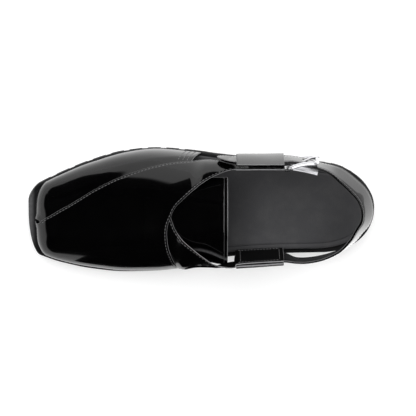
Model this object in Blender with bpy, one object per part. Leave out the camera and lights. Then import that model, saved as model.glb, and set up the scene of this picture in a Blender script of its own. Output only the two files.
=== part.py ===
"""Peshawari chappal for the right foot: crossed leather straps and a buckled back strap on a lugged sole.

Lengths are in millimetres and angles in degrees, and MM turns lengths into Blender's metres.
A station is a distance from the toe tip towards the heel. The little-toe side, lateral, is +Y.
"""

import math

import bmesh
import bpy
from mathutils import Vector

MM = 0.001

# Driving dimensions
LENGTH = 290.0
SOLE_THICKNESS = 9.0
INSOLE_THICKNESS = 4.2
WALL = 2.0
SEAT_GAP = 0.3
ORIGIN_STATION = 144.925
ORIGIN_ACROSS = -1.1

# Sole: where it curves, in the side view and in plan
TOE_SPRING = 6.0
SPRING_END = 42.0
ARCH_START = 118.0
ARCH_END = 200.0
HEEL_LIFT = 15.0
HEEL_BREAST = 206.0
HEEL_TAPER = 2.0
HEEL_ROUND = 45.0
HEEL_POWER = 2.2
HEEL_AXIS = 3.0
END_TRIM = 0.15
TIP = {"lateral": 8.0, "medial": 4.5}
UPPER_TIP = {"lateral": 5.0, "medial": 21.0}
TIP_ROUND = {"lateral": 9.5, "medial": 9.0}
TIP_POWER = 2.0
SIGN = {"lateral": 1.0, "medial": -1.0}

# Tread: bars across the sole, proud of its edge, with a groove behind each
LUG_PITCH = 15.5
LUG_GROOVE = 5.0
LUG_DEPTH = 3.0
LUG_PROUD = 0.4
LUG_DRAFT = 0.25
FIRST_GROOVE = 18.0
LAST_GROOVE = 135.0
HEEL_FIRST_GROOVE = 219.0
HEEL_LAST_GROOVE = 275.0
EDGE_ROUND = 1.0

# Upper: toe box, notch between the two straps, and the corners where the straps part
UPPER_FRONT = 6.0
TOE_ROUND = 15.0
TOE_POWER = 2.3
NOTCH_ROWS = 5
NOTCH_HALF = 1.3
LATERAL_FORK = {"station": 136.0, "girth": 0.156}
CROSSING = {"station": 120.0, "girth": 0.505}
MEDIAL_FORK = {"station": 129.0, "girth": 0.914}
LATERAL_HEM_STATION = 145.0
MEDIAL_HEM_STATION = 133.0
VAMP_ROWS = 22
WALL_COLUMNS = 5
STRAP_COLUMNS = 10
ARM_LEAD = 12.0
ARM_STEPS = (2, 3, 3, 3, 2, 1, 3)

# Tongue under the crossing
TONGUE_FRONT = 98.0
TONGUE_REAR = 166.6
TONGUE_WALL = 1.8
TONGUE_DROP = 2.8
TONGUE_ROWS = 12
TONGUE_COLUMNS = 14
TONGUE_FLARE_START = 138.0
TONGUE_FLARE_GIRTHS = (0.66, 0.80)
TONGUE_FLARE_OUT = 7.5
TONGUE_FLARE_UP = 2.0

# Loops, back strap and chape
LOOP_WALL = 1.6
LOOP_FRONT = 174.6
LOOP_REAR = 212.7
LOOP_SQUARENESS = 8.0
LOOP_COLUMNS = 14
LOOP_HOLLOW = {"lateral": 4.7, "medial": 2.8}
STRAP_WIDTH = 19.0
STRAP_THICKNESS = 2.2
STRAP_TIP_ROUND = 9.0
STRAP_CHAMFER = 0.5
STRAP_STEPS = 4
TIP_SHARES = (0.04, 0.2, 0.5)
TIP_NARROWEST = 0.25
CHAPE_WIDTH = 14.0
CHAPE_THICKNESS = 1.6

# Buckle: a bowed frame, its prong and the plate behind the strap
FRAME_NEAR = 216.4
FRAME_FAR = 240.0
FRAME_MIDDLE_HEIGHT = 55.7
FRAME_WINDOW = 22.6
FRAME_BAR = 2.4
FRAME_DEPTH = 3.4
FRAME_ROUND_REACH = 2.0
FRAME_ROUND_HEIGHT = 8.0
FRAME_DEEPEN_REACH = 7.0
FRAME_DEEPEN_HEIGHT = 2.5
FRAME_CORNER = 4.0
FRAME_FAR_ACROSS = 46.8
FRAME_DROP = 4.8
FRAME_DROP_POWER = 2.6
FRAME_LEAN = 4.0
PRONG_RADIUS = 0.9
PRONG_CLEARANCE = 0.35
PLATE_THICKNESS = 1.3
PLATE_HEIGHT = 4.8

# How finely curves are stepped
SOLE_STEPS = 44
INSOLE_STEPS = 36
TUBE_SIDES = 10
CORNER_STEPS = 5
PRONG_STEPS = 3
SHARP_ANGLE = 35.0


class Table:
    """Rows of named columns, read between the rows by a curve that never overshoots them."""

    def __init__(self, columns, rows):
        self.names = columns.split()
        self.columns = {name: [float(row[i]) for row in rows] for i, name in enumerate(self.names)}
        self.keys = self.columns[self.names[0]]

    def at(self, name, key):
        return monotone(self.keys, self.columns[name], key)


# Half breadths of the sole's top edge, before the toe corners and the heel are rounded
SOLE_SIDES = Table(
    "station lateral medial",
    [
        (0, 17.3, 35.8),
        (26, 29.7, 46.2),
        (53, 40.6, 52.0),
        (80, 48.2, 54.5),
        (107, 50.8, 54.0),
        (134, 49.2, 50.2),
        (161, 46.6, 41.2),
        (195, 44.0, 36.8),
        (235, 41.5, 35.6),
        (265, 39.2, 35.2),
        (280, 35.8, 35.1),
        (290, 32.5, 35.0),
    ],
)

# How far the upper stands inside the sole's edge
LEDGE = Table("station lateral medial", [(0, 1.4, 2.6), (60, 1.2, 2.1), (107, 0.5, 1.4), (290, 1.4, 1.4)])

# The last above the sole: where its ridge runs, how high, and how square the section is
LAST = Table(
    "station ridge height squareness",
    [
        (0, -8.5, 20.0, 2.8),
        (20, -8.0, 22.0, 2.8),
        (40, -5.0, 27.5, 2.6),
        (70, -2.0, 35.0, 2.5),
        (100, 1.0, 43.5, 2.4),
        (120, 2.0, 50.0, 2.3),
        (140, 3.0, 54.5, 2.2),
        (166, 4.0, 60.0, 2.1),
    ],
)

# Free ends of the crossed straps: lower and upper edge of the outer face, then how far it bows out
ARMS = {
    "lateral": Table(
        "low_station low_across low_height up_station up_across up_height bow",
        [
            (142, 45.4, 39.2, 133, 17.8, 63.6, 5.0),
            (150, 45.9, 41.5, 147, 30.2, 64.0, 3.5),
            (159, 46.2, 47.0, 158, 36.6, 64.6, 1.6),
            (168, 45.2, 51.0, 168, 40.5, 65.5, 0.5),
            (173.5, 44.2, 52.0, 173.5, 41.3, 65.9, 0.0),
            (174.3, 45.0, 40.0, 174.3, 41.4, 66.0, 0.0),
            (213, 45.6, 40.0, 213, 41.6, 66.0, 0.0),
        ],
    ),
    "medial": Table(
        "low_station low_across low_height up_station up_across up_height bow",
        [
            (137, -47.2, 30.5, 132, -21.6, 61.8, 5.0),
            (147, -45.0, 36.5, 146, -32.8, 62.4, 3.5),
            (157, -43.4, 44.5, 157, -39.2, 63.8, 1.6),
            (168, -39.3, 52.0, 168, -40.9, 65.4, 0.5),
            (173.5, -37.6, 54.0, 173.5, -39.8, 65.9, 0.0),
            (174.3, -31.0, 40.0, 174.3, -38.3, 66.0, 0.0),
            (213, -29.0, 40.0, 213, -35.6, 66.0, 0.0),
        ],
    ),
}

# Tongue edges as girths on the last
TONGUE_EDGES = Table(
    "station lateral medial",
    [(98, 0.30, 0.66), (125, 0.28, 0.73), (139, 0.27, 0.84), (152, 0.255, 0.92), (166.6, 0.24, 0.93)],
)

# Back strap, from its tip through the lateral loop, round the heel and into the medial loop
BACK_STRAP = Table(
    "row station across height lean",
    [
        (0, 158.2, 48.4, 51.6, 6.0),
        (1, 166.0, 47.4, 52.8, 8.0),
        (2, 174.3, 46.6, 53.5, 8.0),
        (3, 194.0, 46.8, 53.5, 8.3),
        (4, 213.0, 47.0, 53.5, 8.7),
        (5, 220.0, 47.0, 54.2, 8.7),
        (6, 230.0, 45.4, 55.6, 9.0),
        (7, 240.4, 42.6, 57.4, 9.5),
        (8, 250.0, 40.0, 60.6, 16.0),
        (9, 258.8, 35.7, 63.6, 30.0),
        (10, 268.6, 27.9, 65.6, 35.0),
        (11, 275.7, 18.4, 66.0, 36.0),
        (12, 278.9, 8.0, 66.0, 33.0),
        (13, 278.0, -1.8, 66.0, 29.0),
        (14, 274.2, -10.2, 65.6, 26.5),
        (15, 268.4, -18.6, 64.8, 20.0),
        (16, 258.6, -26.9, 63.2, 9.0),
        (17, 245.6, -32.8, 60.6, 2.0),
        (18, 233.0, -35.8, 57.6, -0.5),
        (19, 223.0, -35.8, 54.9, -5.0),
        (20, 213.0, -33.8, 52.7, -14.0),
        (21, 196.0, -34.63, 52.6, -15.0),
        (22, 179.0, -35.8, 52.6, -15.6),
    ],
)

# Chape: from inside the lateral loop, round the near bar of the buckle and back
CHAPE = Table(
    "row station across height lean",
    [
        (0, 184.0, 44.4, 53.2, 8.0),
        (1, 200.0, 44.65, 53.2, 8.3),
        (2, 211.0, 44.8, 53.4, 8.6),
        (3, 214.0, 44.6, 54.0, 6.0),
        (4, 216.4, 44.45, 54.6, 5.0),
        (5, 218.1, 43.8, 54.6, 3.5),
        (6, 218.8, 42.1, 54.6, 0.0),
        (7, 218.1, 40.4, 54.6, -3.5),
        (8, 216.4, 39.7, 54.6, -5.0),
        (9, 213.9, 39.7, 54.6, -5.0),
    ],
)

# Prong of the buckle, from the chape's fold through the strap and onto the far bar
PRONG = Table(
    "row station across height",
    [
        (0, 220.0, 43.3, 54.6),
        (1, 224.0, 43.9, 55.0),
        (2, 228.0, 45.5, 55.5),
        (3, 232.0, 47.4, 55.7),
        (4, 236.0, 49.2, 55.7),
        (5, 242.2, 49.8, 55.7),
    ],
)

# Plate behind the strap: middle of its face, and how it leans
PLATE = Table(
    "row station across height lean",
    [(0, 220.1, 42.0, 64.6, 50.0), (1, 230.0, 40.2, 65.2, 50.0), (2, 240.0, 37.9, 66.2, 50.0)],
)


# Curves
def monotone(keys, values, key):
    """Value at a key on the cubic curve through the rows that keeps their rises and falls."""
    if key <= keys[0]:
        return values[0]
    if key >= keys[-1]:
        return values[-1]
    count = len(keys)
    slopes = [(values[i + 1] - values[i]) / (keys[i + 1] - keys[i]) for i in range(count - 1)]
    span = max(i for i in range(count - 1) if keys[i] <= key)

    def tangent(i):
        if i == 0 or i == count - 1:
            return slopes[min(i, count - 2)]
        before, after = slopes[i - 1], slopes[i]
        return 0.0 if before * after <= 0 else 2.0 * before * after / (before + after)

    width = keys[span + 1] - keys[span]
    u = (key - keys[span]) / width
    start, end = width * tangent(span), width * tangent(span + 1)
    return (
        (2 * u**3 - 3 * u**2 + 1) * values[span]
        + (u**3 - 2 * u**2 + u) * start
        + (3 * u**2 - 2 * u**3) * values[span + 1]
        + (u**3 - u**2) * end
    )


def flowing(values, place):
    """Value at a place, counted in rows, on the smooth curve through all rows."""
    span = min(max(int(place), 0), len(values) - 2)
    u = place - span
    before, start = values[max(span - 1, 0)], values[span]
    end, after = values[span + 1], values[min(span + 2, len(values) - 1)]
    return 0.5 * (
        2 * start
        + (end - before) * u
        + (2 * before - 5 * start + 4 * end - after) * u**2
        + (3 * start - before - 3 * end + after) * u**3
    )


def eased(u):
    """A rise from 0 to 1 with level ends."""
    u = min(max(u, 0.0), 1.0)
    return u * u * (3 - 2 * u)


def rounded(u, power):
    """A quarter of a superellipse: 0 at 0, steep there, and level at 1 from u = 1 on."""
    u = min(max(u, 0.0), 1.0)
    return (1 - (1 - u) ** power) ** (1 / power)


def mixed(a, b, u):
    return a + (b - a) * u


# The last and the sole as functions of the station
def sole_bottom(station):
    if station < SPRING_END:
        return TOE_SPRING * ((SPRING_END - station) / SPRING_END) ** 2
    return HEEL_LIFT * eased((station - ARCH_START) / (ARCH_END - ARCH_START))


def sole_top(station):
    return sole_bottom(station) + SOLE_THICKNESS


def sole_edge(station, side, inset=0.0, front=0.0, back=LENGTH, tips=TIP):
    """Where the sole's edge lies across, drawn in by inset, with its toe at front and its heel at back."""
    sign = SIGN[side]
    breadth = SOLE_SIDES.at(side, station) - inset
    tip = min(tips[side], breadth)
    breadth = mixed(tip, breadth, rounded((station - front) / TIP_ROUND[side], TIP_POWER))
    heel = rounded((back - station) / HEEL_ROUND, HEEL_POWER)
    return HEEL_AXIS + (sign * breadth - HEEL_AXIS) * heel if heel < 1 else sign * breadth


def feather(station, side, inset=0.0):
    """Where the upper's outer face, drawn in by inset, meets the sole."""
    return sole_edge(station, side, LEDGE.at(side, station) + inset, UPPER_FRONT + inset, tips=UPPER_TIP)


def last_point(station, girth, inset=0.0):
    """Point of the upper's outer face. Girth runs from 0, lateral at the sole, over the ridge to 1, medial."""
    ridge = LAST.at("ridge", station)
    rise = rounded((station - UPPER_FRONT - inset) / TOE_ROUND, TOE_POWER)
    height = max(LAST.at("height", station) * rise - inset, 0.0)
    power = 2 / LAST.at("squareness", station)
    angle = math.pi * girth
    spread = feather(station, "lateral" if girth < 0.5 else "medial", inset) - ridge
    across = ridge + spread * abs(math.cos(angle)) ** power
    return Vector((station, across, sole_top(station) + SEAT_GAP + height * max(math.sin(angle), 0.0) ** power))


# Meshes
def material(name, colour, roughness, metallic=0.0):
    made = bpy.data.materials.new(name)
    made.use_nodes = True
    shader = made.node_tree.nodes["Principled BSDF"]
    shader.inputs["Base Color"].default_value = (*colour, 1.0)
    shader.inputs["Roughness"].default_value = roughness
    shader.inputs["Metallic"].default_value = metallic
    return made


def placed(point):
    """A point of the shoe, station first, in the part's frame and in metres."""
    return Vector((point[0] - ORIGIN_STATION, point[1] - ORIGIN_ACROSS, point[2])) * MM


def add_object(name, points, faces, finish):
    mesh = bpy.data.meshes.new(name)
    mesh.from_pydata([placed(p) for p in points], [], faces)
    mesh.validate()
    mesh.shade_smooth()
    mesh.set_sharp_from_angle(angle=math.radians(SHARP_ANGLE))
    mesh.materials.append(finish)
    made = bpy.data.objects.new(name, mesh)
    bpy.context.scene.collection.objects.link(made)
    return made


def face_out(made):
    """Turns the faces of a closed mesh outwards."""
    work = bmesh.new()
    work.from_mesh(made.data)
    bmesh.ops.recalc_face_normals(work, faces=work.faces)
    work.to_mesh(made.data)
    work.free()
    return made


def loft(name, rings, finish, closed=False):
    """A solid through rings of equally many points. A loft that isn't closed on itself has flat ends."""
    size = len(rings[0])
    points = [p for ring in rings for p in ring]
    spans = len(rings) if closed else len(rings) - 1
    faces = []
    for i in range(spans):
        here, there = i * size, (i + 1) % len(rings) * size
        for j in range(size):
            k = (j + 1) % size
            faces.append((here + j, here + k, there + k, there + j))
    if not closed:
        faces.append(tuple(reversed(range(size))))
        faces.append(tuple(range((len(rings) - 1) * size, len(rings) * size)))
    return face_out(add_object(name, points, faces, finish))


def shell(name, points, faces, wall, finish, level=()):
    """A solid with an even wall on the inner side of an open sheet, whose faces point out.

    The points numbered in level lie on the sole, so their wall goes in without rising or falling.
    """
    normals = [Vector() for _ in points]
    for face in faces:
        a, b, c, d = (Vector(points[i]) for i in face)
        out = (c - a).cross(d - b).normalized()
        for i in face:
            normals[i] += out
    for i in level:
        normals[i].z = 0.0
    count = len(points)
    inner = [Vector(p) - n.normalized() * wall for p, n in zip(points, normals)]
    edges = {(face[k - 1], face[k]) for face in faces for k in range(4)}
    rim = [(b, a, a + count, b + count) for a, b in sorted(edges) if (b, a) not in edges]
    back = [tuple(i + count for i in reversed(face)) for face in faces]
    return add_object(name, [Vector(p) for p in points] + inner, faces + rim + back, finish)


def stations_between(front, back, count, extra=(), clearance=0.5):
    """Stations that crowd towards both ends, with the extra ones among them."""
    even = [mixed(front, back, (1 - math.cos(math.pi * i / count)) / 2) for i in range(count + 1)]
    kept = [s for s in even if all(abs(s - e) > clearance for e in extra) or s in (front, back)]
    return sorted(kept + list(extra))


# Sole
def grooves(first, last):
    """Front and rear station of each groove of the tread."""
    count = int((last - first) / LUG_PITCH) + 1
    return [(first + i * LUG_PITCH, first + i * LUG_PITCH + LUG_GROOVE) for i in range(count)]


def groove_stations(cuts):
    return [s for front, rear in cuts for s in (front, front + LUG_DRAFT, rear - LUG_DRAFT, rear)]


def in_groove(station, cuts):
    return any(front < station < rear for front, rear in cuts)


def slab_ring(station, edges_top, edges_low, top, low):
    """Section of a slab with rounded edges: lateral side down, across the bottom, medial side up."""
    soft = min(EDGE_ROUND, 0.2 * (edges_top[0] - edges_top[1]), 0.35 * (top - low))
    lateral, medial = edges_top
    lateral_low, medial_low = edges_low
    outline = (
        (lateral - soft, top),
        (lateral, top - soft),
        (lateral_low, low + soft),
        (lateral_low - soft, low),
        (medial_low + soft, low),
        (medial_low, low + soft),
        (medial, top - soft),
        (medial + soft, top),
    )
    return [(station, across, height) for across, height in outline]


def make_outsole(finish):
    """The sole in one piece: tread bars under the forefoot, a free arch, and the heel with its own bars."""
    front_cuts = grooves(FIRST_GROOVE, LAST_GROOVE)
    heel_cuts = grooves(HEEL_FIRST_GROOVE, HEEL_LAST_GROOVE)
    back = LENGTH - END_TRIM
    breast = [HEEL_BREAST - LUG_DRAFT, HEEL_BREAST]
    rings = []
    for s in stations_between(0.0, back, SOLE_STEPS, groove_stations(front_cuts + heel_cuts) + breast):
        grooved = in_groove(s, front_cuts + heel_cuts)
        on_heel = s >= HEEL_BREAST
        treaded = FIRST_GROOVE - LUG_PITCH < s < LAST_GROOVE + LUG_PITCH
        drawn_in = 0.0
        if on_heel:
            drawn_in = min(HEEL_TAPER, HEEL_TAPER * (back - s) / LUG_PITCH + END_TRIM)
        elif treaded and not grooved:
            drawn_in = -LUG_PROUD
        low = (0.0 if on_heel else sole_bottom(s)) + (LUG_DEPTH if grooved else 0.0)
        edges = [sole_edge(s, side) for side in SIGN]
        feet = [sole_edge(s, side, drawn_in) for side in SIGN]
        rings.append(slab_ring(s, edges, feet, sole_top(s), low))
    return loft("outsole", rings, finish)


def make_insole(finish):
    room = WALL + 2.5 * SEAT_GAP
    front = UPPER_FRONT + room
    back = LENGTH - LEDGE.at("lateral", LENGTH) - room
    rings = []
    for s in stations_between(front, back - END_TRIM, INSOLE_STEPS):
        edges = tuple(sole_edge(s, side, LEDGE.at(side, s) + room, front, back, UPPER_TIP) for side in SIGN)
        low = sole_top(s) + SEAT_GAP
        rings.append(slab_ring(s, edges, edges, low + INSOLE_THICKNESS, low))
    return loft("insole", rings, finish)


# Upper
def spread_between(marks, counts):
    """Values that step evenly from mark to mark, with that many steps in each stretch."""
    values = [marks[0]]
    for start, end, count in zip(marks, marks[1:], counts):
        values += [mixed(start, end, (i + 1) / count) for i in range(count)]
    return values


def arm_rows(side, roots):
    """Rows of points from the roots of a strap's free end to its rear edge, each from the first root's side."""
    table = ARMS[side]
    sections = len(table.keys)
    places = spread_between(range(sections + 1), ARM_STEPS)[1:]
    columns = []
    for i, (station, girth) in enumerate(roots):
        share = i / (len(roots) - 1) if side == "lateral" else 1 - i / (len(roots) - 1)
        knots = [last_point(station - ARM_LEAD, girth), last_point(station, girth)]
        for row in range(sections):
            low, up = (
                Vector([table.columns[f"{edge}_{axis}"][row] for axis in ("station", "across", "height")])
                for edge in ("low", "up")
            )
            bow = table.columns["bow"][row] * 4 * share * (1 - share)
            out = Vector((0.0, SIGN[side], 0.5)).normalized()
            knots.append(low.lerp(up, share) + out * bow)
        keys = [-1.0] + [float(k) for k in range(sections + 1)]
        columns.append(
            [[monotone(keys, [knot[axis] for knot in knots], place) for axis in range(3)] for place in places]
        )
    return [list(row) for row in zip(*columns)]


def make_upper(finish):
    counts = (WALL_COLUMNS, STRAP_COLUMNS, STRAP_COLUMNS, WALL_COLUMNS)
    forks = (LATERAL_FORK, CROSSING, MEDIAL_FORK)
    girths = spread_between([0.0] + [f["girth"] for f in forks] + [1.0], counts)
    hems = spread_between([LATERAL_HEM_STATION] + [f["station"] for f in forks] + [MEDIAL_HEM_STATION], counts)
    crossing = WALL_COLUMNS + STRAP_COLUMNS
    points, faces, number, level = [], [], {}, []

    def add(key, point):
        if key[0] == 0 or key[1] in (0, len(girths) - 1):
            level.append(len(points))
        number[key] = len(points)
        points.append(point)

    for i in range(VAMP_ROWS + 1):
        reach = 1 - math.cos(0.5 * math.pi * i / VAMP_ROWS)
        for j, (girth, hem) in enumerate(zip(girths, hems)):
            point = last_point(mixed(UPPER_FRONT, hem, reach), girth)
            add((i, j), point)
            if j == crossing and i < NOTCH_ROWS:
                half = NOTCH_HALF * (1 - i / NOTCH_ROWS)
                points[-1] = point + Vector((0.0, half, 0.0))
                add((i, "medial lip"), point - Vector((0.0, half, 0.0)))

    def corner_of(i, j, medial):
        split = j == crossing and medial and i < NOTCH_ROWS
        return number[(i, "medial lip" if split else j)]

    for i in range(VAMP_ROWS):
        for j in range(len(girths) - 1):
            medial = j >= crossing
            ring = ((i, j), (i, j + 1), (i + 1, j + 1), (i + 1, j))
            faces.append(tuple(corner_of(*at, medial) for at in ring))

    for side, first in (("lateral", WALL_COLUMNS), ("medial", crossing)):
        columns = range(first, first + STRAP_COLUMNS + 1)
        previous = [number[(VAMP_ROWS, j)] for j in columns]
        for row in arm_rows(side, [(hems[j], girths[j]) for j in columns]):
            here = range(len(points), len(points) + len(row))
            points.extend(row)
            for j in range(STRAP_COLUMNS):
                faces.append((previous[j], previous[j + 1], here[j + 1], here[j]))
            previous = list(here)
    return shell("upper", points, faces, WALL, finish, level)


def tongue_point(station, girth):
    """Point of the tongue, whose medial rear flares out to the strap that crosses there."""
    first, full = TONGUE_FLARE_GIRTHS
    share = eased((station - TONGUE_FLARE_START) / (TONGUE_REAR - TONGUE_FLARE_START))
    share *= eased((girth - first) / (full - first))
    flare = Vector((0.0, -TONGUE_FLARE_OUT, TONGUE_FLARE_UP))
    return last_point(station, girth, TONGUE_DROP) + flare * share


def make_tongue(finish):
    points, faces = [], []
    size = TONGUE_COLUMNS + 1
    for i in range(TONGUE_ROWS + 1):
        station = mixed(TONGUE_FRONT, TONGUE_REAR, i / TONGUE_ROWS)
        edges = TONGUE_EDGES.at("lateral", station), TONGUE_EDGES.at("medial", station)
        points += [tongue_point(station, mixed(*edges, j / TONGUE_COLUMNS)) for j in range(size)]
    for i in range(TONGUE_ROWS):
        for j in range(TONGUE_COLUMNS):
            here = i * size + j
            faces.append((here, here + 1, here + size + 1, here + size))
    return shell("tongue", points, faces, TONGUE_WALL, finish)


# Loops, straps and buckle
def make_loop(side, finish):
    """Cover stitched over the end of a crossed strap, with room for the back strap between them."""
    table = ARMS[side]
    rings = []
    for station in (LOOP_FRONT, LOOP_REAR):
        low, up = (
            Vector((station, table.at(f"{edge}_across", station), table.at(f"{edge}_height", station)))
            for edge in ("low", "up")
        )
        along = (up - low).normalized()
        out = Vector((0.0, SIGN[side] * along.z, -SIGN[side] * along.y))
        shares = [j / LOOP_COLUMNS for j in range(LOOP_COLUMNS + 1)]
        hollow = [SEAT_GAP + LOOP_HOLLOW[side] * (1 - abs(2 * v - 1) ** LOOP_SQUARENESS) for v in shares]
        inner = [low.lerp(up, v) + out * h for v, h in zip(shares, hollow)]
        outer = [point + out * LOOP_WALL for point in inner]
        rings.append(inner + outer[::-1])
    return loft(f"loop_{side}", rings, finish)


def strip_ring(centre, ahead, lean, width, thickness):
    """Section of a flat strip that stands on edge and leans in by that angle as it rises."""
    out = Vector((-ahead.y, ahead.x, 0.0)).normalized()
    lean = math.radians(lean)
    up = Vector((0.0, 0.0, 1.0))
    tall = up * math.cos(lean) - out * math.sin(lean)
    deep = out * math.cos(lean) + up * math.sin(lean)
    soft = min(STRAP_CHAMFER, 0.3 * thickness, 0.3 * width)
    half, thick = width / 2, thickness / 2
    outline = (
        (half - soft, thick),
        (half, thick - soft),
        (half, soft - thick),
        (half - soft, -thick),
        (soft - half, -thick),
        (-half, soft - thick),
        (-half, thick - soft),
        (soft - half, thick),
    )
    return [centre + tall * a + deep * b for a, b in outline]


def strip(name, table, width, thickness, finish, tip_round=0.0):
    """A strap through the rows of a table. Its outer side is on its left, and its first end may be round."""
    columns = [table.columns[c] for c in ("station", "across", "height", "lean")]
    count = (len(table.keys) - 1) * STRAP_STEPS
    rows = [[flowing(column, i / STRAP_STEPS) for column in columns] for i in range(count + 1)]
    if tip_round:
        rows[1:1] = [[mixed(a, b, u) for a, b in zip(rows[0], rows[1])] for u in TIP_SHARES]
    rings, travelled = [], 0.0
    for i, row in enumerate(rows):
        before, after = rows[max(i - 1, 0)], rows[min(i + 1, len(rows) - 1)]
        ahead = Vector(after[:3]) - Vector(before[:3])
        if i:
            travelled += (Vector(row[:3]) - Vector(rows[i - 1][:3])).length
        narrowed = max(rounded(travelled / tip_round, TIP_POWER), TIP_NARROWEST) if tip_round else 1.0
        rings.append(strip_ring(Vector(row[:3]), ahead, row[3], width * narrowed, thickness))
    return loft(name, rings, finish)


def tube_rings(path, radius, closed=False, depth_at=None):
    """Sections along a path that runs mainly sideways, round unless their half depth across is given."""
    rings = []
    count = len(path)
    for i, point in enumerate(path):
        before = path[i - 1] if closed or i else point
        after = path[(i + 1) % count] if closed or i < count - 1 else point
        ahead = (after - before).normalized()
        first = ahead.cross(Vector((0.0, 1.0, 0.0))).normalized()
        second = ahead.cross(first)
        depth = depth_at(point) if depth_at else radius
        turns = [2 * math.pi * k / TUBE_SIDES for k in range(TUBE_SIDES)]
        rings.append([point + first * (radius * math.cos(t)) + second * (depth * math.sin(t)) for t in turns])
    return rings


def frame_across(station, height):
    """The buckle frame's middle face: bowed in towards its near bar and leaning."""
    reach = (station - FRAME_NEAR) / (FRAME_FAR - FRAME_NEAR)
    bowed = FRAME_FAR_ACROSS - FRAME_DROP * max(1 - reach, 0.0) ** FRAME_DROP_POWER
    return bowed - (height - FRAME_MIDDLE_HEIGHT) * math.tan(math.radians(FRAME_LEAN))


def frame_depth(point):
    """Half the frame's depth across: round where the chape holds it, and deeper everywhere else."""
    along = eased((point.x - FRAME_NEAR - FRAME_ROUND_REACH) / FRAME_DEEPEN_REACH)
    off_middle = abs(point.z - FRAME_MIDDLE_HEIGHT)
    tall = eased((off_middle - FRAME_ROUND_HEIGHT) / FRAME_DEEPEN_HEIGHT)
    return mixed(FRAME_BAR, FRAME_DEPTH, max(along, tall)) / 2


def make_buckle_frame(finish):
    half = (FRAME_WINDOW + FRAME_BAR) / 2
    centre = (FRAME_NEAR + FRAME_FAR) / 2
    reach = (FRAME_FAR - FRAME_NEAR) / 2
    path = []
    for quarter, (along, tall) in enumerate(((1, 1), (-1, 1), (-1, -1), (1, -1))):
        for k in range(CORNER_STEPS + 1):
            turn = 0.5 * math.pi * (quarter + k / CORNER_STEPS)
            station = centre + along * (reach - FRAME_CORNER) + FRAME_CORNER * math.cos(turn)
            height = FRAME_MIDDLE_HEIGHT + tall * (half - FRAME_CORNER) + FRAME_CORNER * math.sin(turn)
            path.append((station, height))
        if tall * along > 0:
            start, level = path[-1]
            straight = 2 * (reach - FRAME_CORNER)
            path += [(start - along * straight * k / CORNER_STEPS, level) for k in range(1, CORNER_STEPS)]
    points = [Vector((s, frame_across(s, h), h)) for s, h in path]
    rings = tube_rings(points, FRAME_BAR / 2, closed=True, depth_at=frame_depth)
    return loft("buckle_frame", rings, finish, closed=True)


def prong_path():
    count = (len(PRONG.keys) - 1) * PRONG_STEPS
    columns = [PRONG.columns[c] for c in ("station", "across", "height")]
    return [Vector([flowing(column, i / PRONG_STEPS) for column in columns]) for i in range(count + 1)]


def make_prong(finish):
    return loft("buckle_prong", tube_rings(prong_path(), PRONG_RADIUS), finish)


def punch(strap, finish):
    """Cuts the prong's hole through the strap."""
    cutter = loft("prong_hole", tube_rings(prong_path(), PRONG_RADIUS + PRONG_CLEARANCE), finish)
    cutter.hide_render = True
    cutter.display_type = "WIRE"
    hole = strap.modifiers.new("prong hole", "BOOLEAN")
    hole.operation = "DIFFERENCE"
    hole.object = cutter


def main():
    for old in list(bpy.data.objects):
        bpy.data.objects.remove(old)
    patent = material("black patent leather", (0.012, 0.012, 0.014), 0.12)
    lining = material("black lining leather", (0.05, 0.05, 0.053), 0.6)
    rubber = material("black rubber", (0.03, 0.03, 0.032), 0.75)
    steel = material("polished steel", (0.78, 0.78, 0.8), 0.18, 1.0)
    make_outsole(rubber)
    make_insole(lining)
    make_upper(patent)
    make_tongue(patent)
    for side in SIGN:
        make_loop(side, patent)
    back_strap = strip("back_strap", BACK_STRAP, STRAP_WIDTH, STRAP_THICKNESS, patent, STRAP_TIP_ROUND)
    punch(back_strap, steel)
    strip("chape", CHAPE, CHAPE_WIDTH, CHAPE_THICKNESS, patent)
    make_buckle_frame(steel)
    make_prong(steel)
    strip("buckle_plate", PLATE, PLATE_HEIGHT, PLATE_THICKNESS, steel)


main()
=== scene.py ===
"""Looks of a peshawari chappal for the right foot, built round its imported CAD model.

Lengths are in millimetres until a mesh is made. A point of the shoe is station, across, height: the station
runs from the toe tip to the heel, across is positive on the lateral side, and height is above the floor.
"""

import logging
import math
from dataclasses import dataclass
from enum import Enum
from typing import Sequence

import bpy
import numpy as np
from mathutils import Matrix, Vector, noise


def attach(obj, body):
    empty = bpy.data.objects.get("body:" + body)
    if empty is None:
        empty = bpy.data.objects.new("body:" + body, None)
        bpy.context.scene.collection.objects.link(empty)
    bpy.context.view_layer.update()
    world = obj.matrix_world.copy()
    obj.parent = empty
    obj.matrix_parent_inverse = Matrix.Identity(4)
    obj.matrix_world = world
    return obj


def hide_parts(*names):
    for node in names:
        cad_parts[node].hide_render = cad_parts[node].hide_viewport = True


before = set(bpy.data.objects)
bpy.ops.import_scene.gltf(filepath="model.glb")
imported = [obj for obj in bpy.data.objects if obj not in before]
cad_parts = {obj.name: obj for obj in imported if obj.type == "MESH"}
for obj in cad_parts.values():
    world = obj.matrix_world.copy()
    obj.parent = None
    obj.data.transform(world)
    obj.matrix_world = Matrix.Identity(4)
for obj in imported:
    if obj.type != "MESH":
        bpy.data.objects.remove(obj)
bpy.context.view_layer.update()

LOG = logging.getLogger("chappal")
MM = 0.001
ORIGIN = np.array([144.925, -1.1, 0.0])
Array = np.ndarray


class Side(Enum):
    """The two sides of the shoe."""

    LATERAL = "lateral"
    MEDIAL = "medial"

    @property
    def sign(self) -> float:
        """Which way across this side lies."""
        return 1.0 if self is Side.LATERAL else -1.0


class Slot(Enum):
    """Kinds of material that pieces are sorted by."""

    PATENT = "patent_leather"
    INSOLE = "insole_leather"
    RUBBER = "sole_rubber"
    STEEL = "buckle_steel"


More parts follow.
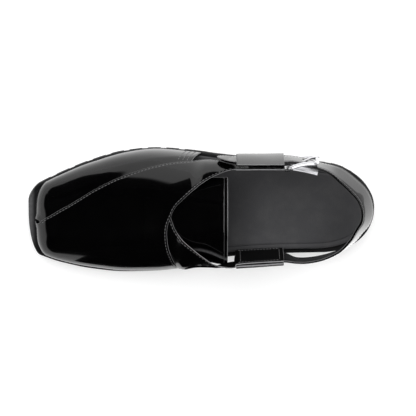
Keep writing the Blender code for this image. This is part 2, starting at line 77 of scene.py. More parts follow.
# Curves
def through(keys: Sequence[float], values: Array, at: Array) -> Array:
    """Reads rows of values between their keys by cubic curves that never overshoot the rows.

    Args:
        keys: rising key of each row.
        values: one row per key, of any shape.
        at: keys to read at.

    Returns:
        One row per read key.
    """
    keys, values, at = (np.asarray(a, float) for a in (keys, values, at))
    tail = (1,) * (values.ndim - 1)
    gaps = np.diff(keys)
    slopes = np.diff(values, axis=0) / gaps.reshape(-1, *tail)
    before, after = slopes[:-1], slopes[1:]
    total = np.where(before + after == 0, 1.0, before + after)
    inner = np.where(before * after > 0, 2 * before * after / total, 0.0)
    tangents = np.concatenate([slopes[:1], inner, slopes[-1:]])
    at = np.clip(at, keys[0], keys[-1])
    span = np.clip(np.searchsorted(keys, at, side="right") - 1, 0, len(keys) - 2)
    width = gaps[span].reshape(*at.shape, *tail)
    u = ((at - keys[span]) / gaps[span]).reshape(*at.shape, *tail)
    return (
        (2 * u**3 - 3 * u**2 + 1) * values[span]
        + (u**3 - 2 * u**2 + u) * width * tangents[span]
        + (3 * u**2 - 2 * u**3) * values[span + 1]
        + (u**3 - u**2) * width * tangents[span + 1]
    )


def flowing(rows: Array, places: Array) -> Array:
    """Reads rows at places counted in rows, on the smooth curve through all of them.

    Args:
        rows: one row per place 0, 1, 2 and so on.
        places: where to read.

    Returns:
        One row per place.
    """
    rows, places = np.asarray(rows, float), np.asarray(places, float)
    last = len(rows) - 1
    span = np.clip(places.astype(int), 0, last - 1)
    u = (places - span)[:, None]
    before, start = rows[np.maximum(span - 1, 0)], rows[span]
    end, after = rows[span + 1], rows[np.minimum(span + 2, last)]
    return 0.5 * (
        2 * start
        + (end - before) * u
        + (2 * before - 5 * start + 4 * end - after) * u**2
        + (3 * start - before - 3 * end + after) * u**3
    )


def eased(u: Array) -> Array:
    """A rise from 0 to 1 with level ends."""
    u = np.clip(u, 0.0, 1.0)
    return u * u * (3 - 2 * u)


def rounded(u: Array, power: float) -> Array:
    """A quarter of a superellipse: steep at 0 and level at 1."""
    u = np.clip(u, 0.0, 1.0)
    return (1 - (1 - u) ** power) ** (1 / power)


def mixed(a: Array, b: Array, u: Array) -> Array:
    """The value a share u of the way from a to b."""
    return a + (b - a) * u


def lengths_along(points: Array) -> Array:
    """Distance travelled at each point of a polyline."""
    steps = np.linalg.norm(np.diff(points, axis=0), axis=1)
    return np.concatenate([[0.0], np.cumsum(steps)])


def unit(vectors: Array) -> Array:
    """The vectors at length one."""
    return vectors / np.maximum(np.linalg.norm(vectors, axis=-1, keepdims=True), 1e-9)


def read_columns(rows: Array, keys: Array, at: Array) -> Array:
    """Each column of rows, read straight between its rising keys."""
    return np.stack([np.interp(at, keys, column) for column in rows.T], axis=-1)


def smoothed(values: Array, reach: int) -> Array:
    """Averages each of a row of values with its neighbours, and keeps the ends.

    Args:
        values: the row.
        reach: how many neighbours to each side.

    Returns:
        As many values.
    """
    weights = np.hanning(2 * reach + 3)[1:-1]
    padded = np.pad(values, reach, mode="reflect", reflect_type="odd")
    return np.convolve(padded, weights / weights.sum(), mode="valid")


class Curve:
    """One column of a table, smoothed over a stretch of its key."""

    STEP = 0.25

    def __init__(self, keys: Sequence[float], values: Sequence[float], soften: float) -> None:
        """Samples the column finely.

        Args:
            keys: key of each row.
            values: value of each row.
            soften: half the stretch that each value is averaged over.
        """
        self.keys = np.arange(keys[0], keys[-1] + self.STEP / 2, self.STEP)
        self.values = smoothed(through(keys, values, self.keys), int(soften / self.STEP))

    def __call__(self, key: Array) -> Array:
        """The column's value at a key."""
        return np.interp(key, self.keys, self.values)


def table(columns: str, rows: Sequence[Sequence[float]], soften: float = 6.0) -> dict[str, Curve]:
    """A table whose first column is the key, as one smooth curve for each other column.

    Args:
        columns: names of the columns.
        rows: the table's rows.
        soften: half the stretch that values are averaged over.

    Returns:
        Curves by column name.
    """
    names = columns.split()
    across = list(zip(*rows))
    return {name: Curve(across[0], column, soften) for name, column in zip(names[1:], across[1:])}


# Tables shared with the part's source
SOLE_SIDES = table(
    "station lateral medial",
    [
        (0, 17.3, 35.8), (26, 29.7, 46.2), (53, 40.6, 52.0), (80, 48.2, 54.5), (107, 50.8, 54.0), (134, 49.2, 50.2),
        (161, 46.6, 41.2), (195, 44.0, 36.8), (235, 41.5, 35.6), (265, 39.2, 35.2), (280, 35.8, 35.1),
        (290, 32.5, 35.0),
    ],
)
LEDGE = table("station lateral medial", [(0, 1.2, 2.7), (60, 1.0, 2.5), (107, 0.1, 1.8), (290, 1.4, 1.4)])
LAST = table(
    "station ridge height squareness",
    [
        (0, -8.5, 20.0, 2.8), (20, -8.0, 22.0, 2.8), (40, -5.0, 27.5, 2.6), (70, -2.0, 35.0, 2.5),
        (100, 1.0, 43.5, 2.4), (120, 2.0, 50.0, 2.3), (140, 3.0, 54.5, 2.2), (166, 4.0, 60.0, 2.1),
    ],
    soften=8.0,
)


@dataclass(frozen=True)
class ShoeForm:
    """The last and the sole's lines, which every sub-assembly is built on."""

    length: float = 290.0
    sole_thickness: float = 9.0
    seat_gap: float = 0.3
    toe_spring: float = 6.0
    spring_end: float = 42.0
    arch_start: float = 118.0
    arch_end: float = 200.0
    heel_lift: float = 15.0
    heel_round: float = 45.0
    heel_power: float = 2.2
    heel_axis: float = 3.0
    tip_power: float = 2.0
    upper_front: float = 6.0
    toe_round: float = 15.0
    toe_power: float = 2.3
    sole_tips: tuple[float, float] = (8.0, 4.5)
    upper_tips: tuple[float, float] = (5.0, 21.0)
    tip_rounds: tuple[float, float] = (9.5, 9.0)

    def sole_bottom(self, station: Array) -> Array:
        """Height of the forepart's underside."""
        spring = self.toe_spring * (np.clip(self.spring_end - station, 0, None) / self.spring_end) ** 2
        return spring + self.heel_lift * eased((station - self.arch_start) / (self.arch_end - self.arch_start))

    def sole_top(self, station: Array) -> Array:
        """Height of the sole's upper face."""
        return self.sole_bottom(station) + self.sole_thickness

    def sole_edge(
        self, station: Array, side: Side, inset: Array = 0.0, front: float = 0.0, back: float = 290.0,
        tips: tuple[float, float] | None = None,
    ) -> Array:
        """Where the sole's edge lies across.

        Args:
            station: stations to read.
            side: lateral or medial edge.
            inset: how far the edge is drawn in.
            front: station of the toe.
            back: station of the heel.
            tips: half breadths of the toe's front, lateral then medial.

        Returns:
            Across values.
        """
        number = 0 if side is Side.LATERAL else 1
        breadth = SOLE_SIDES[side.value](station) - inset
        tip = np.minimum((tips or self.sole_tips)[number], breadth)
        breadth = mixed(tip, breadth, rounded((station - front) / self.tip_rounds[number], self.tip_power))
        heel = rounded((back - station) / self.heel_round, self.heel_power)
        return self.heel_axis * (1 - heel) + side.sign * breadth * heel

    def feather(self, station: Array, side: Side, inset: float = 0.0) -> Array:
        """Where the upper's outer face, drawn in by inset, meets the sole."""
        ledge = LEDGE[side.value](station) + inset
        return self.sole_edge(station, side, ledge, self.upper_front + inset, self.length, self.upper_tips)

    def on_last(self, station: Array, girth: Array, inset: float = 0.0) -> Array:
        """Points of the upper's outer face.

        Args:
            station: stations of the points.
            girth: 0 lateral at the sole, over the ridge to 1 medial.
            inset: how far inside the face.

        Returns:
            Points in the last axis.
        """
        station, girth = np.broadcast_arrays(np.asarray(station, float), np.asarray(girth, float))
        ridge = LAST["ridge"](station)
        rise = rounded((station - self.upper_front - inset) / self.toe_round, self.toe_power)
        height = np.maximum(LAST["height"](station) * rise - inset, 0.0)
        power = 2 / LAST["squareness"](station)
        lateral = self.feather(station, Side.LATERAL, inset)
        medial = self.feather(station, Side.MEDIAL, inset)
        spread = np.where(girth < 0.5, lateral, medial) - ridge
        across = ridge + spread * np.abs(np.cos(np.pi * girth)) ** power
        rise_share = np.clip(np.sin(np.pi * girth), 0.0, 1.0) ** power
        return np.stack([station, across, self.sole_top(station) + self.seat_gap + height * rise_share], axis=-1)


FORM = ShoeForm()


# Meshes
@dataclass
class Shape:
    """Points and faces of a mesh, with a finish number for each face and, for each point, a mark of raw edge, rub or
    painted highlight.
    """

    points: Array
    faces: list[tuple[int, ...]]
    finishes: list[int]
    edge: Array

    def plus(self, other: "Shape") -> "Shape":
        """Both shapes in one.

        Args:
            other: the shape to add.

        Returns:
            A new shape.
        """
        start = len(self.points)
        moved = [tuple(i + start for i in face) for face in other.faces]
        return Shape(
            np.concatenate([self.points, other.points]),
            self.faces + moved,
            self.finishes + other.finishes,
            np.concatenate([self.edge, other.edge]),
        )


def grid_faces(numbers: Array, closed: bool = False) -> list[tuple[int, ...]]:
    """Quads of a grid of point numbers, whose rows may close on themselves.

    Args:
        numbers: point numbers in rows and columns.
        closed: whether the last column joins the first.

    Returns:
        The quads.
    """
    after = np.roll(numbers, -1, axis=1) if closed else numbers[:, 1:]
    here = numbers if closed else numbers[:, :-1]
    quads = np.stack([here[:-1], after[:-1], after[1:], here[1:]], axis=-1)
    return [tuple(int(i) for i in quad) for quad in quads.reshape(-1, 4)]


def vertex_normals(points: Array, faces: Sequence[tuple[int, ...]]) -> Array:
    """Outward normals of a sheet of quads.

    Args:
        points: its points.
        faces: its quads, which turn so that they face outwards.

    Returns:
        One normal per point.
    """
    corner = np.asarray(faces)
    out = np.cross(points[corner[:, 2]] - points[corner[:, 0]], points[corner[:, 3]] - points[corner[:, 1]])
    normals = np.zeros_like(points)
    for k in range(4):
        np.add.at(normals, corner[:, k], out)
    return unit(normals)


class Sheet:
    """An open sheet of leather in quads that face outwards."""

    def __init__(self, grid: Array) -> None:
        """Joins a grid of points.

        Args:
            grid: points in rows and columns.
        """
        self.shape = grid.shape[:2]
        self.points = grid.reshape(-1, 3).copy()
        self.numbers = np.arange(len(self.points)).reshape(self.shape)
        self.faces = grid_faces(self.numbers)

    @property
    def grid(self) -> Array:
        """The points in rows and columns."""
        return self.points.reshape(*self.shape, 3)

    def normals(self) -> Array:
        """Outward normals in rows and columns."""
        return vertex_normals(self.points, self.faces).reshape(*self.shape, 3)

    def lift(self, offsets: Array) -> None:
        """Moves each point out along its normal."""
        self.points = (self.grid + self.normals() * offsets[..., None]).reshape(-1, 3)

    def solid(self, wall: float, bulge: float = 0.35, steps: int = 5) -> Shape:
        """Gives the sheet a wall on its inner side, a lining face and a rounded raw edge.

        Args:
            wall: thickness.
            bulge: how far the edge rounds out, as a share of the wall.
            steps: steps across the edge.

        Returns:
            A closed shape; finish 0 is the outer face and the edge, finish 1 the lining.
        """
        normals = vertex_normals(self.points, self.faces)
        count = len(self.points)
        half_edges = {(f[k - 1], f[k]) for f in self.faces for k in range(4)}
        following = {a: b for a, b in half_edges if (b, a) not in half_edges}
        leading = {b: a for a, b in following.items()}
        rim = sorted(following)
        ahead = self.points[[following[i] for i in rim]] - self.points[[leading[i] for i in rim]]
        out = unit(np.cross(unit(ahead), normals[rim]))
        rings = [self.points, self.points - normals * wall]
        place = {i: k for k, i in enumerate(rim)}
        start = 2 * count
        for step in range(1, steps):
            turn = math.pi * step / steps
            down = normals[rim] * (wall / 2 * (1 - math.cos(turn)))
            rings.append(self.points[rim] - down + out * (bulge * wall * math.sin(turn)))

        def number(i: int, step: int) -> int:
            """Number of the point that a rim point becomes at a step across the edge."""
            between = start + (step - 1) * len(rim) + place[i]
            return {0: i, steps: i + count}.get(step, between)

        faces = list(self.faces)
        for a in rim:
            b = following[a]
            faces += [(number(b, k), number(a, k), number(a, k + 1), number(b, k + 1)) for k in range(steps)]
        back = [tuple(i + count for i in reversed(face)) for face in self.faces]
        finishes = [0] * len(faces) + [1] * len(back)
        edge = np.concatenate([np.zeros(2 * count), np.ones((steps - 1) * len(rim))])
        return Shape(np.concatenate(rings), faces + back, finishes, edge)


def loft(rings: Array, closed: bool = False) -> Shape:
    """A solid through rings of equally many points.

    Args:
        rings: rings in rows. Which way they turn decides which way the faces look.
        closed: whether the last ring joins the first.

    Returns:
        A closed shape.
    """
    rows, size = rings.shape[:2]
    numbers = np.arange(rows * size).reshape(rows, size)
    faces = grid_faces(np.concatenate([numbers, numbers[:1]]) if closed else numbers, closed=True)
    if not closed:
        faces.append(tuple(int(i) for i in numbers[0][::-1]))
        faces.append(tuple(int(i) for i in numbers[-1]))
    return Shape(rings.reshape(-1, 3), faces, [0] * len(faces), np.zeros(rows * size))


def tube(path: Array, radii: Array, sides: int = 16, closed: bool = False, flat: float | Array = 1.0) -> Shape:
    """A tube along a path.

    Args:
        path: points of its centre line.
        radii: radius at each point.
        sides: sides of a section.
        closed: whether the path is a ring.
        flat: depth of the section across, as a share of the radius, for all points or for each.

    Returns:
        A closed shape.
    """
    if closed:
        ahead = np.roll(path, -1, axis=0) - np.roll(path, 1, axis=0)
    else:
        ahead = np.gradient(path, axis=0)
    ahead = unit(ahead)
    first = unit(np.cross(ahead, np.array([0.0, 1.0, 0.0])))
    second = np.cross(ahead, first) * np.asarray(flat, float).reshape(-1, 1)
    turns = 2 * math.pi * np.arange(sides) / sides
    ring = first[:, None] * np.cos(turns)[:, None] + second[:, None] * np.sin(turns)[:, None]
    return loft(path[:, None] + ring * np.asarray(radii, float)[:, None, None], closed)


def waviness(points: Array, size: float, depth: float) -> Array:
    """Soft hand-made unevenness.

    Args:
        points: points in the last axis.
        size: length of a wave.
        depth: its height.

    Returns:
        One offset per point.
    """
    flat = points.reshape(-1, 3) / size
    return depth * np.array([noise.noise(Vector(p)) for p in flat]).reshape(points.shape[:-1])


# Finishes
class NodeTree:
    """A node tree that is filled with short calls."""

    def __init__(self, tree: bpy.types.NodeTree) -> None:
        """Takes the tree to fill."""
        self.tree = tree

    def node(self, kind: str, inputs: dict[str | int, object] | None = None, **options: object) -> bpy.types.Node:
        """Adds a node.

        Args:
            kind: type name without its ShaderNode beginning.
            inputs: values or output sockets by input name or number.
            options: the node's own settings.

        Returns:
            The node.
        """
        made = self.tree.nodes.new("ShaderNode" + kind)
        for name, value in options.items():
            setattr(made, name, value)
        for key, value in (inputs or {}).items():
            self.feed(made.inputs[key], value)
        return made

    def feed(self, socket: bpy.types.NodeSocket, value: object) -> None:
        """Links an output to the socket or sets the socket's own value.

        Args:
            socket: an input socket.
            value: an output socket, or a plain value.
        """
        if isinstance(value, bpy.types.NodeSocket):
            self.tree.links.new(value, socket)
        else:
            socket.default_value = value

    def math(self, operation: str, a: object, b: object = 0.0) -> bpy.types.NodeSocket:
        """The result of a sum on two values."""
        return self.node("Math", {0: a, 1: b}, operation=operation).outputs[0]

    def between(self, factor: object, low: object, high: object) -> bpy.types.NodeSocket:
        """A value from low to high by a factor."""
        return self.node("MapRange", {0: factor, 3: low, 4: high}).outputs[0]

    def blend(self, factor: object, a: object, b: object) -> bpy.types.NodeSocket:
        """A colour from a to b by a factor.

        Args:
            factor: share of b.
            a: first colour.
            b: second colour.

        Returns:
            The colour's socket.
        """
        made = self.node("Mix", {0: factor}, data_type="RGBA")
        self.feed(made.inputs["A"], a)
        self.feed(made.inputs["B"], b)
        return made.outputs["Result"]


class Effects:
    """Shader node groups that several finishes share."""

    _made: dict[str, bpy.types.NodeTree] = {}

    @classmethod
    def _group(cls, name: str, inputs: dict[str, float], outputs: Sequence[str]) -> tuple[NodeTree, dict, dict]:
        """Starts a group of values.

        Args:
            name: the group's name.
            inputs: input names and their usual values.
            outputs: output names.

        Returns:
            The tree, its inner inputs, and its inner outputs.
        """
        tree = bpy.data.node_groups.new(name, "ShaderNodeTree")
        for socket, value in inputs.items():
            made = tree.interface.new_socket(socket, in_out="INPUT", socket_type="NodeSocketFloat")
            made.default_value = value
        for socket in outputs:
            tree.interface.new_socket(socket, in_out="OUTPUT", socket_type="NodeSocketFloat")
        start, end = tree.nodes.new("NodeGroupInput"), tree.nodes.new("NodeGroupOutput")
        cls._made[name] = tree
        return NodeTree(tree), start.outputs, end.inputs

    @classmethod
    def grain(cls) -> bpy.types.NodeTree:
        """Pebbled grain with creases: a height and a tone.

        Returns:
            The group.
        """
        if "leather_grain" not in cls._made:
            nodes, given, wanted = cls._group("leather_grain", {"Scale": 900.0, "Creases": 0.4}, ("Height", "Tone"))
            place = nodes.node("TexCoord").outputs["Object"]
            cells = nodes.node("TexVoronoi", {"Vector": place, "Scale": given["Scale"]}, feature="SMOOTH_F1")
            coarse = nodes.math("MULTIPLY", given["Scale"], 0.12)
            creases = nodes.node("TexNoise", {"Vector": place, "Scale": coarse, "Detail": 6.0, "Roughness": 0.62})
            pebbles = nodes.math("SUBTRACT", 1.0, cells.outputs["Distance"])
            rough = nodes.math("MULTIPLY", creases.outputs["Fac"], given["Creases"])
            nodes.feed(wanted["Height"], nodes.math("ADD", pebbles, rough))
            broad = nodes.node("TexNoise", {"Vector": place, "Scale": 34.0, "Detail": 3.0})
            nodes.feed(wanted["Tone"], broad.outputs["Fac"])
        return cls._made["leather_grain"]

    @classmethod
    def wear_and_highlight(cls) -> bpy.types.NodeTree:
        """Raw and rubbed edges, and painted highlights on marked edges and lines: an edge mark broken up into a mask.

        Returns:
            The group.
        """
        if "edge_wear_and_highlight" not in cls._made:
            nodes, given, wanted = cls._group("edge_wear_and_highlight", {"Edge": 0.0, "Amount": 1.0}, ("Mask",))
            place = nodes.node("TexCoord").outputs["Object"]
            broken = nodes.node("TexNoise", {"Vector": place, "Scale": 420.0, "Detail": 4.0})
            patchy = nodes.between(broken.outputs["Fac"], 0.55, 1.15)
            mask = nodes.math("MULTIPLY", nodes.math("MULTIPLY", given["Edge"], patchy), given["Amount"])
            nodes.feed(wanted["Mask"], nodes.node("Clamp", {0: mask}).outputs[0])
        return cls._made["edge_wear_and_highlight"]

    @classmethod
    def dust(cls) -> bpy.types.NodeTree:
        """Fine dust and finger marks: a mask that is thin and cloudy.

        Returns:
            The group.
        """
        if "dust" not in cls._made:
            nodes, given, wanted = cls._group("dust", {"Amount": 0.1, "Scale": 60.0}, ("Mask",))
            place = nodes.node("TexCoord").outputs["Object"]
            cloud = nodes.node("TexNoise", {"Vector": place, "Scale": given["Scale"], "Detail": 7.0, "Roughness": 0.7})
            thin = nodes.node("MapRange", {0: cloud.outputs["Fac"], 1: 0.45, 2: 0.8})
            nodes.feed(wanted["Mask"], nodes.math("MULTIPLY", thin.outputs[0], given["Amount"]))
        return cls._made["dust"]


DUST_COLOUR = (0.3, 0.29, 0.27)


@dataclass(frozen=True)
class Finish:
    """A finish that is built from grain, raw edges, painted highlights on marked lines, and dust. A glow is what
    reflections see, then the camera.
    """

    name: str
    colour: tuple[float, float, float]
    edge_colour: tuple[float, float, float]
    roughness: float
    edge_roughness: float
    grain_scale: float
    grain_depth: float
    creases: float = 0.4
    tone: float = 0.25
    dust: float = 0.06
    metallic: float = 0.0
    coat: float = 0.0
    coat_roughness: float = 0.03
    shine: float = 0.5
    glow: tuple[float, float] | None = None

    def make(self) -> bpy.types.Material:
        """Builds the material.

        Returns:
            The material.
        """
        made = bpy.data.materials.new(self.name)
        made.use_nodes = True
        nodes = NodeTree(made.node_tree)
        shader = made.node_tree.nodes["Principled BSDF"]
        grain = nodes.node("Group", node_tree=Effects.grain())
        grain.inputs["Scale"].default_value = self.grain_scale
        grain.inputs["Creases"].default_value = self.creases
        mark = nodes.node("Attribute", attribute_name="edge")
        wear_and_highlight = nodes.node("Group", node_tree=Effects.wear_and_highlight())
        nodes.feed(wear_and_highlight.inputs["Edge"], mark.outputs["Fac"])
        dust = nodes.node("Group", node_tree=Effects.dust())
        dust.inputs["Amount"].default_value = self.dust
        light = tuple(min(c * (1 + self.tone), 1.0) for c in self.colour)
        dark = tuple(c * (1 - self.tone) for c in self.colour)
        colour = nodes.blend(grain.outputs["Tone"], (*dark, 1.0), (*light, 1.0))
        # Blends in the edge colour: raw edges, and painted highlight lines where they are marked.
        colour = nodes.blend(wear_and_highlight.outputs["Mask"], colour, (*self.edge_colour, 1.0))
        colour = nodes.blend(dust.outputs["Mask"], colour, (*DUST_COLOUR, 1.0))
        nodes.feed(shader.inputs["Base Color"], colour)
        rough = nodes.between(wear_and_highlight.outputs["Mask"], self.roughness, self.edge_roughness)
        nodes.feed(shader.inputs["Roughness"], nodes.math("ADD", rough, dust.outputs["Mask"]))
        relief = {"Height": grain.outputs["Height"], "Strength": 1.0, "Distance": self.grain_depth * MM}
        bump = nodes.node("Bump", relief)
        nodes.feed(shader.inputs["Normal"], bump.outputs["Normal"])
        shader.inputs["Metallic"].default_value = self.metallic
        shader.inputs["Specular IOR Level"].default_value = self.shine
        if self.glow:
            seen = nodes.node("LightPath").outputs["Is Camera Ray"]
            nodes.feed(shader.inputs["Emission Color"], nodes.between(seen, *self.glow))
            shader.inputs["Emission Strength"].default_value = 1.0
        if self.coat:
            nodes.feed(shader.inputs["Coat Weight"], nodes.between(wear_and_highlight.outputs["Mask"], self.coat, 0.0))
            shader.inputs["Coat Roughness"].default_value = self.coat_roughness
        return made


PATENT = Finish(
    "black_patent_leather", (0.0005, 0.0005, 0.0006), (0.22, 0.22, 0.225), 0.2, 0.6, 1400.0, 0.0012,
    dust=0.0015, coat=0.88, coat_roughness=0.03, shine=0.15,
)
LINING = Finish(
    "black_lining_leather", (0.0015, 0.0015, 0.0016), (0.14, 0.14, 0.145), 0.45, 0.65, 1100.0, 0.03, dust=0.002,
    shine=0.06,
)
FOOTBED = Finish(
    "charcoal_insole_leather", (0.037, 0.037, 0.039), (0.07, 0.07, 0.072), 0.62, 0.7, 1250.0, 0.05,
    creases=0.8, tone=0.12, dust=0.05, shine=0.35,
)
RUBBER = Finish(
    "black_sole_rubber", (0.007, 0.007, 0.0075), (0.085, 0.085, 0.087), 0.65, 0.7, 1700.0, 0.035,
    tone=0.3, dust=0.02, shine=0.2,
)
STEEL = Finish(
    "polished_buckle_steel", (0.84, 0.84, 0.86), (0.88, 0.88, 0.89), 0.3, 0.3, 2400.0, 0.004,
    creases=0.9, tone=0.05, dust=0.02, metallic=1.0,
)
# Grey rather than black: painted sheen, with the thread's reflection put into its colour.
THREAD = Finish(
    "waxed_black_thread_painted_sheen", (0.10, 0.10, 0.102), (0.16, 0.16, 0.165), 0.38, 0.5, 3800.0, 0.03, tone=0.3, dust=0.03,
)
PAPER = Finish(
    "white_studio_paper", (0.62, 0.62, 0.62), (0.62, 0.62, 0.62), 0.9, 0.9, 500.0, 0.02,
    tone=0.01, dust=0.0, shine=0.1, glow=(0.12, 0.44),
)


@dataclass(frozen=True)
class Glow:
    """A screen that shines as brightly as its points are marked."""

    name: str
    strength: float

    def make(self) -> bpy.types.Material:
        """Builds the material, black but for its light.

        Returns:
            The material.
        """
        made = bpy.data.materials.new(self.name)
        made.use_nodes = True
        nodes = NodeTree(made.node_tree)
        shader = made.node_tree.nodes["Principled BSDF"]
        mark = nodes.node("Attribute", attribute_name="edge")
        shader.inputs["Base Color"].default_value = (0.0, 0.0, 0.0, 1.0)
        shader.inputs["Specular IOR Level"].default_value = 0.0
        shader.inputs["Emission Strength"].default_value = self.strength
        nodes.feed(shader.inputs["Emission Color"], mark.outputs["Color"])
        return made


SCREEN = Glow("glowing_screen", 1.0)
BACKDROP = Glow("white_backdrop", 0.95)


class Workshop:
    """Turns shapes into pieces that ride on the CAD body, with finishes made once."""

    def __init__(self) -> None:
        """Starts with no finishes made and no metal."""
        self.made: dict[str, bpy.types.Material] = {}
        self.metal = bpy.data.collections.new("bright_metal")

    def finish(self, finish: Finish | Glow) -> bpy.types.Material:
        """The material of a finish, made when it is first asked for.

        Args:
            finish: the finish.

        Returns:
            Its material.
        """
        if finish.name not in self.made:
            self.made[finish.name] = finish.make()
        return self.made[finish.name]

    def mesh(
        self, name: str, shape: Shape, finishes: Sequence[Finish | Glow], sharp: float = 60.0
    ) -> bpy.types.Object:
        """Makes an object from a shape.

        Args:
            name: the object's name.
            shape: points and faces in millimetres.
            finishes: finishes by number.
            sharp: angle in degrees from which an edge is sharp.

        Returns:
            The object.
        """
        mesh = bpy.data.meshes.new(name)
        mesh.from_pydata((shape.points - ORIGIN) * MM, [], shape.faces)
        mesh.polygons.foreach_set("material_index", np.array(shape.finishes, dtype=np.int32))
        mark = mesh.attributes.new("edge", "FLOAT", "POINT")
        mark.data.foreach_set("value", shape.edge.astype(np.float32))
        mesh.shade_smooth()
        mesh.set_sharp_from_angle(angle=math.radians(sharp))
        for finish in finishes:
            mesh.materials.append(self.finish(finish))
        made = bpy.data.objects.new(name, mesh)
        bpy.context.scene.collection.objects.link(made)
        return made

    def piece(
        self, name: str, shape: Shape, finishes: Sequence[Finish], slot: Slot, nodes: Sequence[str] = (),
        sharp: float = 60.0,
    ) -> bpy.types.Object:
        """Makes a piece of the shoe.

        Args:
            name: the piece's name.
            shape: points and faces in millimetres.
            finishes: finishes by number.
            slot: the piece's kind of material; steel pieces join the bright metal collection.
            nodes: CAD nodes that the piece stands for.
            sharp: angle in degrees from which an edge is sharp.

        Returns:
            The piece.
        """
        made = self.mesh(name, shape, finishes, sharp)
        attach(made, "root")
        if nodes:
            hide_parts(*nodes)
        if slot is Slot.STEEL:
            self.metal.objects.link(made)
        LOG.info("%s: %d faces", name, len(made.data.polygons))
        return made


@dataclass(frozen=True)
class Stitching:
    """Rows of stitches laid on a face."""

    pitch: float = 3.0
    length: float = 2.3
    radius: float = 0.32
    sides: int = 6
    swell: tuple[float, ...] = (0.25, 0.85, 1.0, 0.85, 0.25)
    arch: tuple[float, ...] = (-0.9, 0.25, 0.5, 0.25, -0.9)

    def row(self, path: Array, normals: Array) -> Shape:
        """One row of stitches.

        Args:
            path: points along the row.
            normals: the face's normal at each point.

        Returns:
            All the stitches in one shape.
        """
        travelled = lengths_along(path)
        count = max(int(travelled[-1] / self.pitch), 1)
        steps = len(self.swell)
        starts = np.arange(count) * self.pitch
        places = starts[:, None] + np.linspace(0.0, self.length, steps)
        centres, out = read_columns(path, travelled, places), unit(read_columns(normals, travelled, places))
        ahead = unit(centres[:, -1:] - centres[:, :1]) + np.zeros_like(centres)
        beside = unit(np.cross(ahead, out))
        centres = centres + out * (np.array(self.arch) * self.radius)[None, :, None]
        turns = 2 * math.pi * np.arange(self.sides) / self.sides
        radii = self.radius * np.array(self.swell)[:, None]
        rings = (
            centres[:, :, None]
            + beside[:, :, None] * (radii * np.cos(turns))[None, :, :, None]
            + out[:, :, None] * (radii * np.sin(turns))[None, :, :, None]
        )
        made = loft(rings[0])
        faces, points = list(made.faces), rings.reshape(-1, 3)
        size = steps * self.sides
        for k in range(1, count):
            faces += [tuple(i + k * size for i in face) for face in made.faces]
        return Shape(points, faces, [0] * len(faces), np.zeros(len(points)))


STITCHES = Stitching()
FINE_STITCHES = Stitching(pitch=2.6, length=2.0, radius=0.22)


def joined(shapes: Sequence[Shape]) -> Shape:
    """All shapes in one.

    Args:
        shapes: the shapes, in order.

    Returns:
        A new shape.
    """
    whole = shapes[0]
    for shape in shapes[1:]:
        whole = whole.plus(shape)
    return whole


def graded(length: Array, marks: Sequence[float], count: int) -> Array:
    """Distances along lines that keep the same marks from both ends and step evenly between.

    Args:
        length: length of each line.
        marks: distances from each end, rising from 0.
        count: steps between the last marks.

    Returns:
        One row of distances per line.
    """
    length = np.asarray(length, float)[:, None]
    marks = np.asarray(marks, float)[None, :]
    last = marks[:, -1:]
    middle = mixed(last, length - last, np.linspace(0, 1, count + 1)[None, 1:-1])
    start = np.broadcast_to(marks, (len(length), marks.shape[1]))
    return np.concatenate([start, middle, (length - marks)[:, ::-1]], axis=1)


def regridded(grid: Array, marks: Sequence[float], count: int) -> Array:
    """Moves the columns of a grid along its rows to graded distances.

    Args:
        grid: points or plane coordinates followed by points, in rows and columns.
        marks: distances from each edge that get a column.
        count: even steps between.

    Returns:
        The same columns of numbers at the new places.
    """
    travelled = [lengths_along(row[:, -3:]) for row in grid]
    wanted = graded(np.array([t[-1] for t in travelled]), marks, count)
    return np.array([read_columns(*line) for line in zip(grid, travelled, wanted)])


def strap_keys(steps: tuple[float, float, float], bend: tuple[float, float], plate: tuple[float, float]) -> Array:
    """Keys of a free end's rows: even steps from, to and by, the two of its bend, and those of its plate."""
    return np.concatenate([np.arange(*steps), bend, np.linspace(*plate, 10)])


